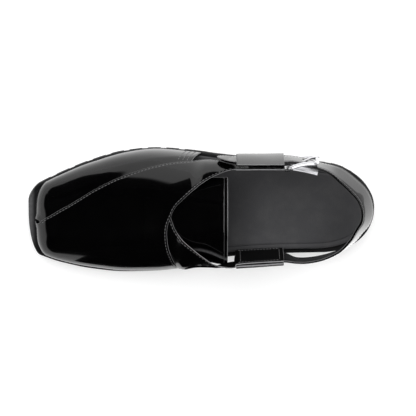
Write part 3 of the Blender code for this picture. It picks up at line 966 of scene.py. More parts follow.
# Sub-assemblies
@dataclass
class Outsole:
    """The lugged rubber sole in one with its heel."""

    lug_pitch: float = 15.5
    groove: float = 5.0
    depth: float = 3.0
    proud: float = 0.15
    draft: float = 0.25
    first: float = 18.0
    last: float = 135.0
    heel_first: float = 219.0
    heel_last: float = 275.0
    breast: float = 206.0
    heel_taper: float = 2.0
    end_trim: float = 0.004
    edge_round: float = 1.5
    # Most of the ring's breadth and height that an edge may round off, and the lower edge's share of the upper's
    round_of_breadth: float = 0.2
    round_of_height: float = 0.35
    foot_share: float = 0.6
    channel_in: float = 3.6
    channel_depth: float = 0.5
    channel_half: float = 0.7
    # Most of the breadth that a channel's place and half width may take
    channel_shares: tuple[float, float] = (0.3, 0.05)
    # Lighter edge mark on the rounded corners of the top edge: rub and painted highlight. Round the toe the rim is
    # marked fully, as a painted highlight where its rounding catches light.
    rub: float = 0.06
    rub_and_highlight_points: tuple[int, ...] = (1, 2, 18, 19)
    toe_highlight: float = 1.0
    toe_highlight_end: float = 1.5
    toe_highlight_fade: float = 4.5
    station_room: float = 0.4
    steps: int = 190

    def cuts(self) -> list[tuple[float, float]]:
        """Places of the tread's grooves.

        Returns:
            Front and rear station of each groove.
        """
        found = []
        for first, last in ((self.first, self.last), (self.heel_first, self.heel_last)):
            count = int((last - first) / self.lug_pitch) + 1
            found += [(first + i * self.lug_pitch, first + i * self.lug_pitch + self.groove) for i in range(count)]
        return found

    def section(self, station: float, grooved: bool) -> Array:
        """One ring of the sole.

        Args:
            station: where the ring stands.
            grooved: whether it lies in a groove of the tread.

        Returns:
            Points of the ring, from the lateral top edge down, across the bottom and back over the top.
        """
        back = FORM.length - self.end_trim
        on_heel = station >= self.breast
        drawn_in = 0.0
        if on_heel:
            drawn_in = min(self.heel_taper, self.heel_taper * (back - station) / self.lug_pitch + self.end_trim)
        elif self.first - self.lug_pitch < station < self.last + self.lug_pitch and not grooved:
            drawn_in = -self.proud
        top = float(FORM.sole_top(station))
        low = (0.0 if on_heel else float(FORM.sole_bottom(station))) + (self.depth if grooved else 0.0)
        edges = {s: float(FORM.sole_edge(station, s)) for s in Side}
        feet = {s: float(FORM.sole_edge(station, s, drawn_in)) for s in Side}
        breadth = edges[Side.LATERAL] - edges[Side.MEDIAL]
        soft = min(self.edge_round, self.round_of_breadth * breadth, self.round_of_height * (top - low))
        low_soft = soft * self.foot_share
        corner = [(math.cos(t) * soft - soft, math.sin(t) * soft - soft) for t in np.radians([90, 60, 30, 0])]
        foot = [(math.cos(t) * low_soft - low_soft, low_soft - math.sin(t) * low_soft) for t in np.radians([0, 45, 90])]
        shares = np.linspace(0, 1, 9)[1:-1]
        points = [(edges[Side.LATERAL] + a, top + h) for a, h in corner]
        points += [(feet[Side.LATERAL] + a, low + h) for a, h in foot]
        points += [(mixed(feet[Side.LATERAL], feet[Side.MEDIAL], v), low) for v in shares]
        points += [(feet[Side.MEDIAL] - a, low + h) for a, h in foot[::-1]]
        points += [(edges[Side.MEDIAL] - a, top + h) for a, h in corner[::-1]]
        inward = min(self.channel_in, self.channel_shares[0] * breadth)
        half = min(self.channel_half, self.channel_shares[1] * breadth)
        dips = [(-half, 0.0), (-0.4 * half, self.channel_depth), (0.4 * half, self.channel_depth), (half, 0.0)]
        points += [(edges[Side.MEDIAL] + inward + a, top - d) for a, d in dips]
        points += [(edges[Side.LATERAL] - inward + a, top - d) for a, d in dips]
        return np.array([(station, a, h) for a, h in points])

    def build(self, shop: Workshop) -> None:
        """Lofts the sole through its rings.

        Args:
            shop: where pieces are made.
        """
        cuts = self.cuts()
        extra = [s for front, rear in cuts for s in (front, front + self.draft, rear - self.draft, rear)]
        extra += [self.breast - self.draft, self.breast]
        back = FORM.length - self.end_trim
        even = back * (1 - np.cos(math.pi * np.arange(self.steps + 1) / self.steps)) / 2
        kept = [s for s in even if all(abs(s - e) > self.station_room for e in extra)]
        stations = sorted(kept + extra)
        rings = [self.section(s, any(front < s < rear for front, rear in cuts)) for s in stations]
        shape = loft(np.array(rings))
        # Edge marks: rub and painted highlight on the top edge's corners, and painted highlight on the toe's rim.
        rubbed_and_highlit = np.zeros((len(stations), len(rings[0])))
        rubbed_and_highlit[:, list(self.rub_and_highlight_points)] = self.rub
        at_toe = self.toe_highlight * (1 - eased((np.array(stations) - self.toe_highlight_end) / self.toe_highlight_fade))
        shape.edge = np.maximum(rubbed_and_highlit, at_toe[:, None]).reshape(-1)
        shop.piece("outsole_rubber", shape, [RUBBER], Slot.RUBBER, ["outsole"], sharp=38.0)


@dataclass
class Insole:
    """The leather footbed, dished in the middle and pressed along its border."""

    thickness: float = 4.2
    room: float = 2.75
    end_trim: float = 0.15
    edge_round: float = 1.3
    round_of_breadth: float = 0.2
    border: float = 4.2
    groove_depth: float = 0.45
    groove_half: float = 0.55
    flat_from: float = 2.0
    dish: float = 1.1
    dish_ease: float = 30.0
    wave: tuple[float, float] = (26.0, 0.22)
    wavy_from: float = 3.0
    steps: int = 150
    columns: int = 22

    def section(self, station: float, front: float, back: float) -> Array:
        """One ring of the footbed, from the lateral edge over the top and back below.

        Args:
            station: where the ring stands.
            front: station of the footbed's toe.
            back: station of its heel.

        Returns:
            Points of the ring.
        """
        lateral, medial = (
            float(FORM.sole_edge(station, s, LEDGE[s.value](station) + self.room, front, back, FORM.upper_tips))
            for s in (Side.LATERAL, Side.MEDIAL)
        )
        low = float(FORM.sole_top(station)) + FORM.seat_gap
        breadth = lateral - medial
        soft = min(self.edge_round, self.round_of_breadth * breadth)
        scale = min(breadth / (4 * self.border), 1.0)
        groove = [self.border + a for a in (-self.groove_half, 0.0, self.groove_half, self.flat_from)]
        marks = [soft] + [g * scale if g * scale > soft else soft * 1.01 for g in groove]
        inner = np.linspace(marks[-1], breadth - marks[-1], self.columns)
        places = np.concatenate([marks[:-1], inner, breadth - np.array(marks[:-1])[::-1]])
        share = 2 * places / breadth - 1
        ends = eased((station - front) / self.dish_ease) * eased((back - station) / self.dish_ease)
        dish = self.dish * (1 - share**2) * ends
        drop = np.zeros(len(places))
        drop[2] = drop[-3] = self.groove_depth * scale
        high = low + self.thickness
        top = [(lateral - p, high - d - g) for p, d, g in zip(places, dish, drop)]
        corner = [(soft - soft * math.cos(t), high - soft + soft * math.sin(t)) for t in np.radians([0, 30, 60])]
        near = [(lateral - a, h) for a, h in corner]
        far = [(medial + a, h) for a, h in corner]
        under = [(mixed(medial, lateral, v), low) for v in (0.0, 0.5, 1.0)]
        ring = near + top + far[::-1] + under
        return np.array([(station, a, h) for a, h in ring[::-1]])

    def build(self, shop: Workshop) -> None:
        """Lofts the footbed through its rings.

        Args:
            shop: where pieces are made.
        """
        front = FORM.upper_front + self.room
        back = FORM.length - float(LEDGE["lateral"](FORM.length)) - self.room
        stations = mixed(front, back - self.end_trim, (1 - np.cos(math.pi * np.linspace(0, 1, self.steps))) / 2)
        rings = np.array([self.section(float(s), front, back) for s in stations])
        upper_side = rings[..., 2] > rings[..., 2].min(1, keepdims=True) + self.wavy_from
        rings[..., 2] += waviness(rings, *self.wave) * upper_side
        made = shop.piece("insole_footbed", loft(rings), [FOOTBED], Slot.INSOLE, ["insole"], sharp=70.0)


@dataclass
class Upper:
    """Two crossed straps: the over strap from the medial forefoot, the under strap from the lateral one."""

    over_wall: float = 1.2
    under_wall: float = 1.0
    sunk: float = 1.22
    reach: float = 132.0
    seam: tuple[tuple[float, float], ...] = (
        (6, 0.505), (9, 0.503), (12.5, 0.497), (20, 0.476), (28, 0.451), (37.4, 0.423), (48, 0.385), (58.8, 0.347),
        (80, 0.291), (101, 0.243), (122, 0.186), (136, 0.156),
    )
    rear: tuple[tuple[float, float], ...] = (
        (135.8, 1.0), (130.6, 0.965), (127.2, 0.91), (124.2, 0.833), (120.6, 0.733), (118.2, 0.668), (117.1, 0.614),
        (116.8, 0.569), (117.8, 0.535), (120.4, 0.503), (123.8, 0.469), (127.9, 0.441), (132.8, 0.408),
        (137.7, 0.374),
    )
    # Free end of the over strap: lower edge, upper edge and bow
    over_arm: tuple[tuple[float, ...], ...] = (
        (150, 45.9, 41.5, 147, 30.2, 64.0, 3.5),
        (159, 46.2, 47.0, 158, 36.6, 64.6, 1.6),
        (168, 45.2, 51.0, 168, 40.5, 65.5, 0.5),
        (173.5, 44.2, 52.0, 173.5, 41.3, 65.9, 0.0),
        (174.3, 45.0, 40.0, 174.3, 41.0, 66.0, 0.0),
        (213, 45.6, 40.0, 213, 41.1, 66.0, 0.0),
    )
    # Under strap below the crossing: station and girth of its upper and lower edge
    under_front: tuple[tuple[float, ...], ...] = (
        (117.5, 0.463, 88.0, 0.60), (120.1, 0.507, 98.0, 0.70), (123.0, 0.552, 110.0, 0.82),
        (125.6, 0.584, 121.0, 0.90),
    )
    # Its free end, in the columns of the over strap's
    under_arm: tuple[tuple[float, ...], ...] = (
        (131, -49.0, 26.0, 129.5, -18.8, 59.2, 8.4),
        (137, -47.2, 30.5, 134, -23.0, 60.0, 6.6),
        (142, -45.9, 33.5, 139, -27.2, 60.9, 5.0),
        (149, -44.7, 38.0, 146, -32.6, 62.4, 3.6),
        (157, -43.4, 44.5, 157, -39.2, 63.8, 1.6),
        (168, -39.3, 52.0, 168, -40.9, 65.4, 0.5),
        (173.5, -37.6, 54.0, 173.5, -40.4, 65.9, 0.0),
        (174.3, -31.0, 40.0, 174.3, -38.3, 66.0, 0.0),
        (213, -29.0, 40.0, 213, -35.6, 66.0, 0.0),
    )
    # Distance along its upper edge of all those rows
    under_keys: tuple[float, ...] = (0.0, 9.1, 18.3, 24.2, 30.6, 37.0, 43.6, 52.0, 64.4, 75.6, 81.2, 82.0, 121.0)
    # How finely the straps are divided
    over_steps: tuple[int, int] = (96, 120)
    over_columns: int = 52
    medial_columns: int = 22
    lateral_steps: tuple[int, int] = (110, 60)
    # Keys of the over strap's last rows on the last
    over_keys: tuple[float, float] = (124.0, 136.8)
    # Bow of the free ends: how far it rises for each unit that it stands out
    bow_rise: float = 0.5
    seam_soften: float = 5.0
    edge_marks: tuple[float, ...] = (0.0, 0.5, 1.0, 1.6, 2.2, 3.2)
    edge_lifts: tuple[float, ...] = (-0.1, 0.04, 0.06, -0.2, 0.02, 0.0)
    stitch_column: int = 3
    notch_end: float = 12.0
    notch_girth: float = 0.016
    lip_height: float = 0.8
    lip_width: float = 2.6
    lip_past_notch: float = 2.0
    groove_rub: float = 0.12
    # Length and height of the waves in the over strap and in both parts of the under strap
    over_wave: tuple[float, float] = (30.0, 0.22)
    lateral_wave: tuple[float, float] = (24.0, 0.2)
    medial_wave: tuple[float, float] = (24.0, 0.12)
    wave_fade: float = 6.0
    over_lift: float = 0.05
    # Hem of the under strap's lateral part: its station at the sole, and how far forward it is at the seam and past it
    hem: tuple[float, float, float] = (145.0, 9.0, 6.0)
    seam_end: float = 136.0
    # How far that part runs on below the seam, and how it sinks there
    tuck: float = 0.2
    tuck_from: float = 10.0
    tuck_ease: float = 14.0
    sink_ease: float = 12.0
    # Where the straps' stitches come into view and where they go into the loops
    stitches_from: float = 120.0
    stitches_to: float = 172.0
    over_first_rows: tuple[int, int] = (12, 4)
    hem_rows: tuple[int, ...] = (2, 4, 6)
    hem_columns: tuple[int, int] = (2, 46)

    def to_plane(self, station: Array) -> Array:
        """The toe-to-heel coordinate in which the toe is as evenly stepped as the rest."""
        share = np.clip(1 - (np.asarray(station, float) - FORM.upper_front) / self.reach, -1, 1)
        return np.arccos(share) * 2 / math.pi

    def from_plane(self, place: Array) -> Array:
        """The station of a toe-to-heel coordinate."""
        return FORM.upper_front + self.reach * (1 - np.cos(np.asarray(place) * math.pi / 2))

    def line(self, rows: Sequence[tuple[float, float]], count: int) -> Array:
        """A smooth line on the last through rows of station and girth, evenly stepped on the shoe.

        Args:
            rows: station and girth of each row.
            count: points wanted.

        Returns:
            Plane coordinate and girth of each point.
        """
        flat = np.array([(float(self.to_plane(s)), g) for s, g in rows])
        fine = flowing(flat, np.linspace(0, len(rows) - 1, 400))
        fine = np.stack([smoothed(column, 20) for column in fine.T], axis=-1)
        along = lengths_along(FORM.on_last(self.from_plane(fine[:, 0]), np.clip(fine[:, 1], 0, 1)))
        return read_columns(fine, along, np.linspace(0, along[-1], count))

    def seam_girth(self, station: Array) -> Array:
        """Girth of the seam at a station."""
        stations, girths = zip(*self.seam)
        return Curve(stations, girths, self.seam_soften)(station)

    def notch(self, station: Array) -> Array:
        """How wide the notch at the toe stands open, from 1 at the front to 0."""
        return 1 - eased((station - FORM.upper_front) / (self.notch_end - FORM.upper_front))

    def over_plane(self, rows: int, columns: int) -> Array:
        """Plane coordinates of the over strap on the last, between its four edges.

        Args:
            rows: steps from the sole at the medial forefoot to the free end.
            columns: steps from the seam to the rear edge.

        Returns:
            Plane coordinate and girth in rows and columns.
        """
        low = self.line(self.seam, rows + 1)
        low[:, 1] = low[:, 1] + self.notch_girth * self.notch(self.from_plane(low[:, 0]))
        high = self.line(self.rear, rows + 1)
        front = np.linspace(low[0, 1], 1.0, 41)[:-1]
        corner = np.array([(0.0, g) for g in front] + [(p, 1.0) for p in np.linspace(0, high[0, 0], 121)])
        along = lengths_along(FORM.on_last(self.from_plane(corner[:, 0]), corner[:, 1]))
        start = read_columns(corner, along, np.linspace(0, along[-1], columns + 1))
        v = np.linspace(0, 1, columns + 1)[None, :, None]
        u = np.linspace(0, 1, rows + 1)[:, None, None]
        end = mixed(low[-1], high[-1], v[0])
        start[0], start[-1] = low[0], high[0]
        ends = (1 - u) * (1 - v) * low[0] + (1 - u) * v * high[0] + u * (1 - v) * low[-1] + u * v * high[-1]
        flat = (1 - v) * low[:, None] + v * high[:, None] + (1 - u) * start[None] + u * end[None] - ends
        flat[..., 0] = np.clip(flat[..., 0], 0, None)
        flat[..., 1] = np.clip(flat[..., 1], 0, 1)
        return flat

    def arm(
        self, knots: Sequence[Array], keys: Sequence[float], side: Side, rows: Sequence[Sequence[float]],
        shares: Array, wanted: Array,
    ) -> Array:
        """A strap's free end, from points on the last to its plate in the loop.

        Args:
            knots: rows of points that lie on the last.
            keys: rising key of each of those rows and of the table's.
            side: the side that the end runs to.
            rows: the free end's table.
            shares: place of each column from the lower edge, 0, to the upper, 1.
            wanted: keys of the wanted rows.

        Returns:
            Points in rows and columns.
        """
        knots = list(knots)
        out = np.array([0.0, side.sign, self.bow_rise]) / math.hypot(1.0, self.bow_rise)
        for row in rows:
            low, up, bow = np.array(row[:3], float), np.array(row[3:6], float), row[6]
            bowed = out * (bow * 4 * shares * (1 - shares))[:, None]
            knots.append(mixed(low, up, shares[:, None]) + bowed)
        return through(keys, np.array(knots), wanted)

    def over_strap(self) -> Sheet:
        """Lays the over strap, with columns at fixed distances from both its edges.

        Returns:
            Its outer face.
        """
        flat = self.over_plane(*self.over_steps)
        on_last = FORM.on_last(self.from_plane(flat[..., 0]), flat[..., 1])
        vamp = regridded(np.concatenate([flat, on_last], axis=-1), self.edge_marks, self.over_columns)
        vamp = FORM.on_last(self.from_plane(vamp[..., 0]), np.clip(vamp[..., 1], 0, 1))
        along = lengths_along(vamp[-1])
        shares = along / along[-1]
        keys = [*self.over_keys, *(row[3] for row in self.over_arm)]
        wanted = strap_keys((138.2, 172.4, 1.5), (173.5, 174.3), (178.0, 213.0))
        arm = self.arm([vamp[-9], vamp[-1]], keys, Side.LATERAL, self.over_arm, shares, wanted)
        return Sheet(np.concatenate([vamp, arm]))

    def lips(self, points: Array, from_edge: Array) -> Array:
        """How the straps' edges curl up on both sides of the notch."""
        near = np.exp(-((from_edge / self.lip_width) ** 2))
        return self.lip_height * near * self.notch(points[..., 0] - self.lip_past_notch)

    def edge_offsets(self, columns: int) -> Array:
        """Offsets of a strap's columns: rounded edges with a stitched groove near both.

        Args:
            columns: how many columns it has.

        Returns:
            One offset per column.
        """
        offsets = np.zeros(columns)
        offsets[: len(self.edge_lifts)] = self.edge_lifts
        offsets[-len(self.edge_lifts):] = self.edge_lifts[::-1]
        return offsets

    def grooved(self, strap: Sheet, wall: float) -> Shape:
        """A strap's solid, rubbed along its stitched grooves.

        Args:
            strap: the strap's outer face.
            wall: its thickness.

        Returns:
            A closed shape.
        """
        shape = strap.solid(wall)
        shape.edge[strap.numbers[:, [self.stitch_column, -1 - self.stitch_column]].reshape(-1)] = self.groove_rub
        return shape

    def under_lateral(self) -> Sheet:
        """Lays the under strap's lateral forefoot, running on below the seam.

        Returns:
            Its outer face.
        """
        rows, columns = self.lateral_steps
        places = 1 - np.cos(np.linspace(0, 1, rows) * math.pi / 2)
        at_seam = FORM.upper_front + (self.seam_end - FORM.upper_front) * places
        girth = self.seam_girth(at_seam) - self.notch_girth * self.notch(at_seam)
        tuck = self.tuck * eased((at_seam - self.tuck_from) / self.tuck_ease)
        q = np.linspace(0, 1, columns)[None, :] * (1 + tuck)[:, None]
        at_sole, to_seam, past_seam = self.hem
        hem = at_sole - to_seam * np.minimum(q, 1) - past_seam * np.maximum(q - 1, 0)
        station = FORM.upper_front + (hem - FORM.upper_front) * places[:, None]
        grid = FORM.on_last(station, np.clip(q * girth[:, None], 0, 1))
        sheet = Sheet(grid)
        along = [lengths_along(row) for row in grid]
        from_seam = np.array([np.abs(row - np.interp(1.0, k, row)) for row, k in zip(along, q)])
        below = np.where(q > 1, 1.0, 1 - eased(from_seam / self.sink_ease))
        opened = self.notch(at_seam)[:, None]
        sunk = -self.sunk * below * (1 - opened)
        sheet.lift(sunk + self.lips(grid, from_seam) + waviness(grid, *self.lateral_wave))
        return sheet

    def under_medial(self) -> Sheet:
        """Lays the under strap's medial end, coming out from below the over strap.

        Returns:
            Its outer face.
        """
        breadth = 40.0
        shares = graded(np.array([breadth]), self.edge_marks, self.medial_columns)[0] / breadth
        knots = [
            FORM.on_last(mixed(up, low, shares), mixed(up_girth, low_girth, shares), self.sunk)
            for up, up_girth, low, low_girth in self.under_front
        ]
        wanted = strap_keys((0.0, 80.0, 1.4), (81.2, 82.0), (86.0, 121.0))
        grid = self.arm(knots, self.under_keys, Side.MEDIAL, self.under_arm, 1 - shares, wanted)
        sheet = Sheet(grid)
        sheet.lift(self.edge_offsets(len(shares))[None, :] + waviness(grid, *self.medial_wave))
        return sheet

    def build(self, shop: Workshop) -> None:
        """Cuts, lays and stitches both straps.

        Args:
            shop: where pieces are made.
        """
        over = self.over_strap()
        grid = over.grid
        from_seam = np.array([lengths_along(row) for row in grid])
        fade = eased((grid[..., 2] - FORM.sole_top(grid[..., 0])) / self.wave_fade)
        over.lift(
            self.over_lift
            + self.edge_offsets(over.shape[1])[None, :]
            + self.lips(grid, from_seam)
            + waviness(grid, *self.over_wave) * fade
        )
        shop.piece("over_strap", self.grooved(over, self.over_wall), [PATENT, LINING], Slot.PATENT, ["upper"])
        lateral, medial = self.under_lateral(), self.under_medial()
        shop.piece("under_strap_lateral", lateral.solid(self.under_wall), [PATENT, LINING], Slot.PATENT, ["upper"])
        shape = self.grooved(medial, self.under_wall)
        shop.piece("under_strap_medial", shape, [PATENT, LINING], Slot.PATENT, ["upper"])
        self.stitch(shop, over, lateral, medial)

    def stitch(self, shop: Workshop, over: Sheet, lateral: Sheet, medial: Sheet) -> None:
        """Sews the seam, the rear edges and the lateral hem.

        Args:
            shop: where pieces are made.
            over: the over strap.
            lateral: the under strap's lateral part.
            medial: the under strap's medial end.
        """
        rows = []
        near, far = self.stitch_column, -1 - self.stitch_column
        grid, normals = over.grid, over.normals()
        free = int(np.argmax(grid[:, -1, 0] > self.stitches_to))
        for column, first in zip((near, far), self.over_first_rows):
            rows.append(STITCHES.row(grid[first:free, column], normals[first:free, column]))
        grid, normals = medial.grid, medial.normals()
        shown, free = (int(np.argmax(grid[:, 0, 0] > end)) for end in (self.stitches_from, self.stitches_to))
        for column in (near, far):
            rows.append(STITCHES.row(grid[shown:free, column], normals[shown:free, column]))
        sewn = slice(*self.hem_columns)
        grid, normals = lateral.grid[:, sewn], lateral.normals()[:, sewn]
        for from_hem in self.hem_rows:
            row = len(grid) - 1 - from_hem
            rows.append(STITCHES.row(grid[row], normals[row]))
        shop.piece("upper_stitching", joined(rows), [THREAD], Slot.PATENT)


@dataclass
class Tongue:
    """The oval tongue below the crossing, bound at its rear and flared out to the medial strap."""

    front: float = 98.0
    rear: float = 166.6
    wall: float = 1.8
    drop: float = 2.8
    binding: float = 2.3
    binding_lift: float = 0.5
    edges: tuple[tuple[float, ...], ...] = (
        (98, 0.30, 0.66), (125, 0.28, 0.73), (139, 0.27, 0.84), (152, 0.255, 0.945), (166.6, 0.24, 0.945),
    )
    flare_start: float = 138.0
    flare_girths: tuple[float, float] = (0.66, 0.80)
    flare_out: float = 8.5
    flare_up: float = 2.0
    fold: tuple[tuple[float, float], ...] = ((132, 0.695), (139, 0.71), (162, 0.765), (166.6, 0.775))
    fold_height: float = 0.5
    fold_half: float = 0.008
    fold_start: float = 134.0
    fold_ease: float = 8.0
    wave: tuple[float, float] = (26.0, 0.12)
    # Edge mark of the fold and the binding's step: raw-edge colour, partly rub and partly a painted highlight along
    # both lines.
    rub: float = 0.45

    def build(self, shop: Workshop) -> None:
        """Shapes the tongue, its binding and the fold on its medial side.

        Args:
            shop: where pieces are made.
        """
        sides = table("station lateral medial", self.edges, 4.0)
        rear = self.rear
        marks = [rear - m for m in (0.0, 0.4, 0.9, 1.4, self.binding - 0.4, self.binding, self.binding + 0.35)]
        stations = np.array(list(np.linspace(self.front, rear - self.binding - 1.2, 46)) + marks[::-1])
        girth = mixed(sides["lateral"](stations)[:, None], sides["medial"](stations)[:, None], np.linspace(0, 1, 96))
        first, full = self.flare_girths
        flared = eased((stations - self.flare_start) / (rear - self.flare_start))[:, None]
        flared = flared * eased((girth - first) / (full - first))
        grid = FORM.on_last(stations[:, None], girth, self.drop)
        grid = grid + flared[..., None] * np.array([0.0, -self.flare_out, self.flare_up])
        sheet = Sheet(grid)
        seam = marks[5]
        bound = (stations >= seam - 0.01).astype(float)[:, None] * self.binding_lift
        fold_at = np.interp(stations, *zip(*self.fold))[:, None]
        grown = eased((stations - self.fold_start) / self.fold_ease)[:, None]
        folded = np.exp(-(((girth - fold_at) / self.fold_half) ** 2)) * grown
        sheet.lift(bound + self.fold_height * folded + waviness(grid, *self.wave))
        shape = sheet.solid(self.wall)
        # The fold and the binding's step get the raw-edge colour as painted highlight lines.
        rub_and_highlight_lines = self.rub * np.maximum(folded, np.abs(stations - seam)[:, None] < 0.1)
        shape.edge[: rub_and_highlight_lines.size] = rub_and_highlight_lines.reshape(-1)
        shop.piece("tongue_leather", shape, [PATENT, LINING], Slot.PATENT, ["tongue"])


@dataclass
class Loop:
    """Cover over a strap's plate, through which the back strap runs, with its stitches.

    The plate's lower and upper edges are given as across and height at its front, then at its rear.
    """

    side: Side
    low: tuple[float, float, float, float]
    up: tuple[float, float, float, float]
    hollow: float
    wall: float = 1.6
    front: float = 174.6
    rear: float = 212.7
    shoulder: float = 0.24
    shoulder_power: float = 1.3
    slant: float = 0.0
    slant_from: float = 0.2
    slant_power: float = 1.5
    rim_room: float = 0.15
    crown: float = 0.35
    wave: tuple[float, float] = (16.0, 0.14)
    plate_ends: tuple[float, float] = (174.3, 213.0)
    plate_wall: float = 1.25
    stitch_rows: tuple[float, float] = (0.09, 0.91)
    stitch_ends: tuple[float, float] = (0.1, 0.9)

    def frame_at(self, stations: Array) -> tuple[Array, Array, Array]:
        """The plate at some stations.

        Args:
            stations: where to read it.

        Returns:
            Lower edge, upper edge and outward direction.
        """
        first, last = self.plate_ends
        share = ((stations - first) / (last - first))[:, None]
        low, up = (
            np.column_stack([stations, mixed(np.array(ends[:2]), np.array(ends[2:]), share)])
            for ends in (self.low, self.up)
        )
        along = unit(up - low)
        sign = self.side.sign
        out = np.stack([np.zeros(len(stations)), sign * along[:, 2], -sign * along[:, 1]], -1)
        return low, up, out

    def build(self, shop: Workshop) -> None:
        """Shapes the cover and sews the loop.

        Args:
            shop: where pieces are made.
        """
        stations = self.front + graded(np.array([self.rear - self.front]), (0.0, 0.5, 1.2, 3.0), 15)[0]
        low, up, out = self.frame_at(stations)
        v = (1 - np.cos(math.pi * np.linspace(0, 1, 56))) / 2
        over = np.clip((np.abs(2 * v - 1) - 1 + self.shoulder) / self.shoulder, 0.0, 1.0)
        rise = 1 - (1 - self.rim_room) * over**self.shoulder_power
        slope = np.clip((v - self.slant_from) / (1 - self.slant_from), 0.0, 1.0) ** self.slant_power
        rise = np.where((v > 0.5) & (self.slant > 0), 1 - self.slant * slope, rise - self.slant * slope)
        outer = FORM.seat_gap + self.hollow * rise + self.wall + self.crown * (1 - (2 * v - 1) ** 2)
        grid = mixed(low[:, None], up[:, None], v[None, :, None]) + out[:, None] * outer[None, :, None]
        if self.side is Side.MEDIAL:
            grid = grid[:, ::-1]
        sheet = Sheet(grid)
        sheet.lift(waviness(grid, *self.wave))
        name = f"loop_cover_{self.side.value}"
        node = f"loop_{self.side.value}"
        shop.piece(name, sheet.solid(self.wall), [PATENT, LINING], Slot.PATENT, [node])
        rows = []
        for share in self.stitch_rows:
            line = mixed(low, up, share)[2:-2] - out[2:-2] * self.plate_wall
            rows.append(FINE_STITCHES.row(line, -out[2:-2]))
        shares = np.linspace(*self.stitch_ends, 12)[:, None]
        for k in (3, len(stations) - 4):
            line = mixed(low[k], up[k], shares) - out[k] * self.plate_wall
            rows.append(FINE_STITCHES.row(line, -np.repeat(out[k][None], len(shares), axis=0)))
        shop.piece(f"loop_stitching_{self.side.value}", joined(rows), [THREAD], Slot.PATENT)


@dataclass
class Strip:
    """A flat strap that stands on edge along rows of station, across, height and lean."""

    rows: tuple[tuple[float, float, float, float], ...]
    width: float
    thickness: float
    steps: int = 8
    tip_round: float = 0.0
    crown: float = 0.2
    groove: float = 0.0
    raw: float = 1.0
    slope: float = 0.3
    rounding: float = 0.6
    # Places of the rows that round the tip, and its least share of full width
    tip_places: tuple[float, ...] = (0.0, 0.004, 0.012, 0.025, 0.045, 0.07, 0.1)
    tip_least: float = 0.12
    # Where the outer face's groove starts, is deepest and ends, from the strap's edge
    groove_marks: tuple[float, float, float] = (1.5, 2.1, 2.7)

    def path(self) -> tuple[Array, Array, Array, Array]:
        """The way that the strap takes.

        Returns:
            Its middle points, its tall and deep directions there, and its share of full width.
        """
        count = (len(self.rows) - 1) * self.steps
        places = np.arange(count + 1) / self.steps
        if self.tip_round:
            places = np.concatenate([self.tip_places, places[1:]])
        read = flowing(np.array(self.rows, float), places)
        middle, lean = read[:, :3], np.radians(read[:, 3])[:, None]
        ahead = np.gradient(middle, places, axis=0)
        out = unit(np.stack([-ahead[:, 1], ahead[:, 0], np.zeros(len(ahead))], -1))
        up = np.array([0.0, 0.0, 1.0])
        tall = up * np.cos(lean) - out * np.sin(lean)
        deep = out * np.cos(lean) + up * np.sin(lean)
        narrow = np.ones(len(middle))
        if self.tip_round:
            narrow = np.maximum(rounded(lengths_along(middle) / self.tip_round, 2.0), self.tip_least)
        return middle, tall, deep, narrow

    def outline(self) -> tuple[Array, Array]:
        """The strap's section.

        Returns:
            Tall and deep coordinate of each point, and how much each is raw edge.
        """
        half, thick = self.width / 2, self.thickness / 2
        soft = min(self.rounding, self.width / 8)
        face = [half - soft, *(half - mark for mark in self.groove_marks), half / 2, 0.0]
        face = face + [-a for a in face[-2::-1]]
        dip = np.array([self.slope, 0, self.groove, 0, 0, 0, 0, 0, self.groove, 0, self.slope])
        front = [(a, thick + self.crown * (1 - (a / half) ** 2) - d) for a, d in zip(face, dip)]
        turns = np.radians([60, 30, 15, -15, -30, -60])
        rim = [(half - soft + soft * math.cos(t), thick * math.sin(t)) for t in turns]
        back = [(a, -thick) for a in np.linspace(-half + soft, half - soft, 6)]
        ring = front + [(-a, d) for a, d in rim] + back + rim[::-1]
        rims = [0.0, 0.0, 0.0, 0.4 * self.raw, self.raw, 0.0]
        edge = [0.0] * len(front) + rims + [0.0] * len(back) + rims[::-1]
        return np.array(ring), np.array(edge)

    def shape(self) -> Shape:
        """Lofts the strap.

        Returns:
            A closed shape.
        """
        middle, tall, deep, narrow = self.path()
        ring, edge = self.outline()
        sized = ring[None, :, 0] * narrow[:, None]
        rings = middle[:, None] + tall[:, None] * sized[..., None] + deep[:, None] * ring[None, :, 1, None]
        made = loft(rings[:, ::-1])
        made.edge = np.tile(edge[::-1], len(middle))
        return made

    def stitches(self, inset: float) -> Shape:
        """Sews both edges of the outer face.

        Args:
            inset: distance of the stitches from the edges.

        Returns:
            Both rows of stitches.
        """
        middle, tall, deep, narrow = self.path()
        rows = []
        for sign in (1.0, -1.0):
            reach = sign * np.maximum(self.width / 2 * narrow - inset, 0.0)[:, None]
            height = self.thickness / 2 + self.crown * (1 - (1 - 2 * inset / self.width) ** 2) - self.groove
            line = middle + tall * reach + deep * height
            rows.append(FINE_STITCHES.row(line[4:], deep[4:]))
        return joined(rows)


# Centre line of the buckle's prong, which goes through the back strap
PRONG_LINE = (
    (220.0, 43.3, 54.6), (224.0, 43.9, 55.0), (228.0, 45.5, 55.5), (232.0, 47.4, 55.7), (236.0, 49.2, 55.7),
    (242.2, 49.8, 55.7),
)


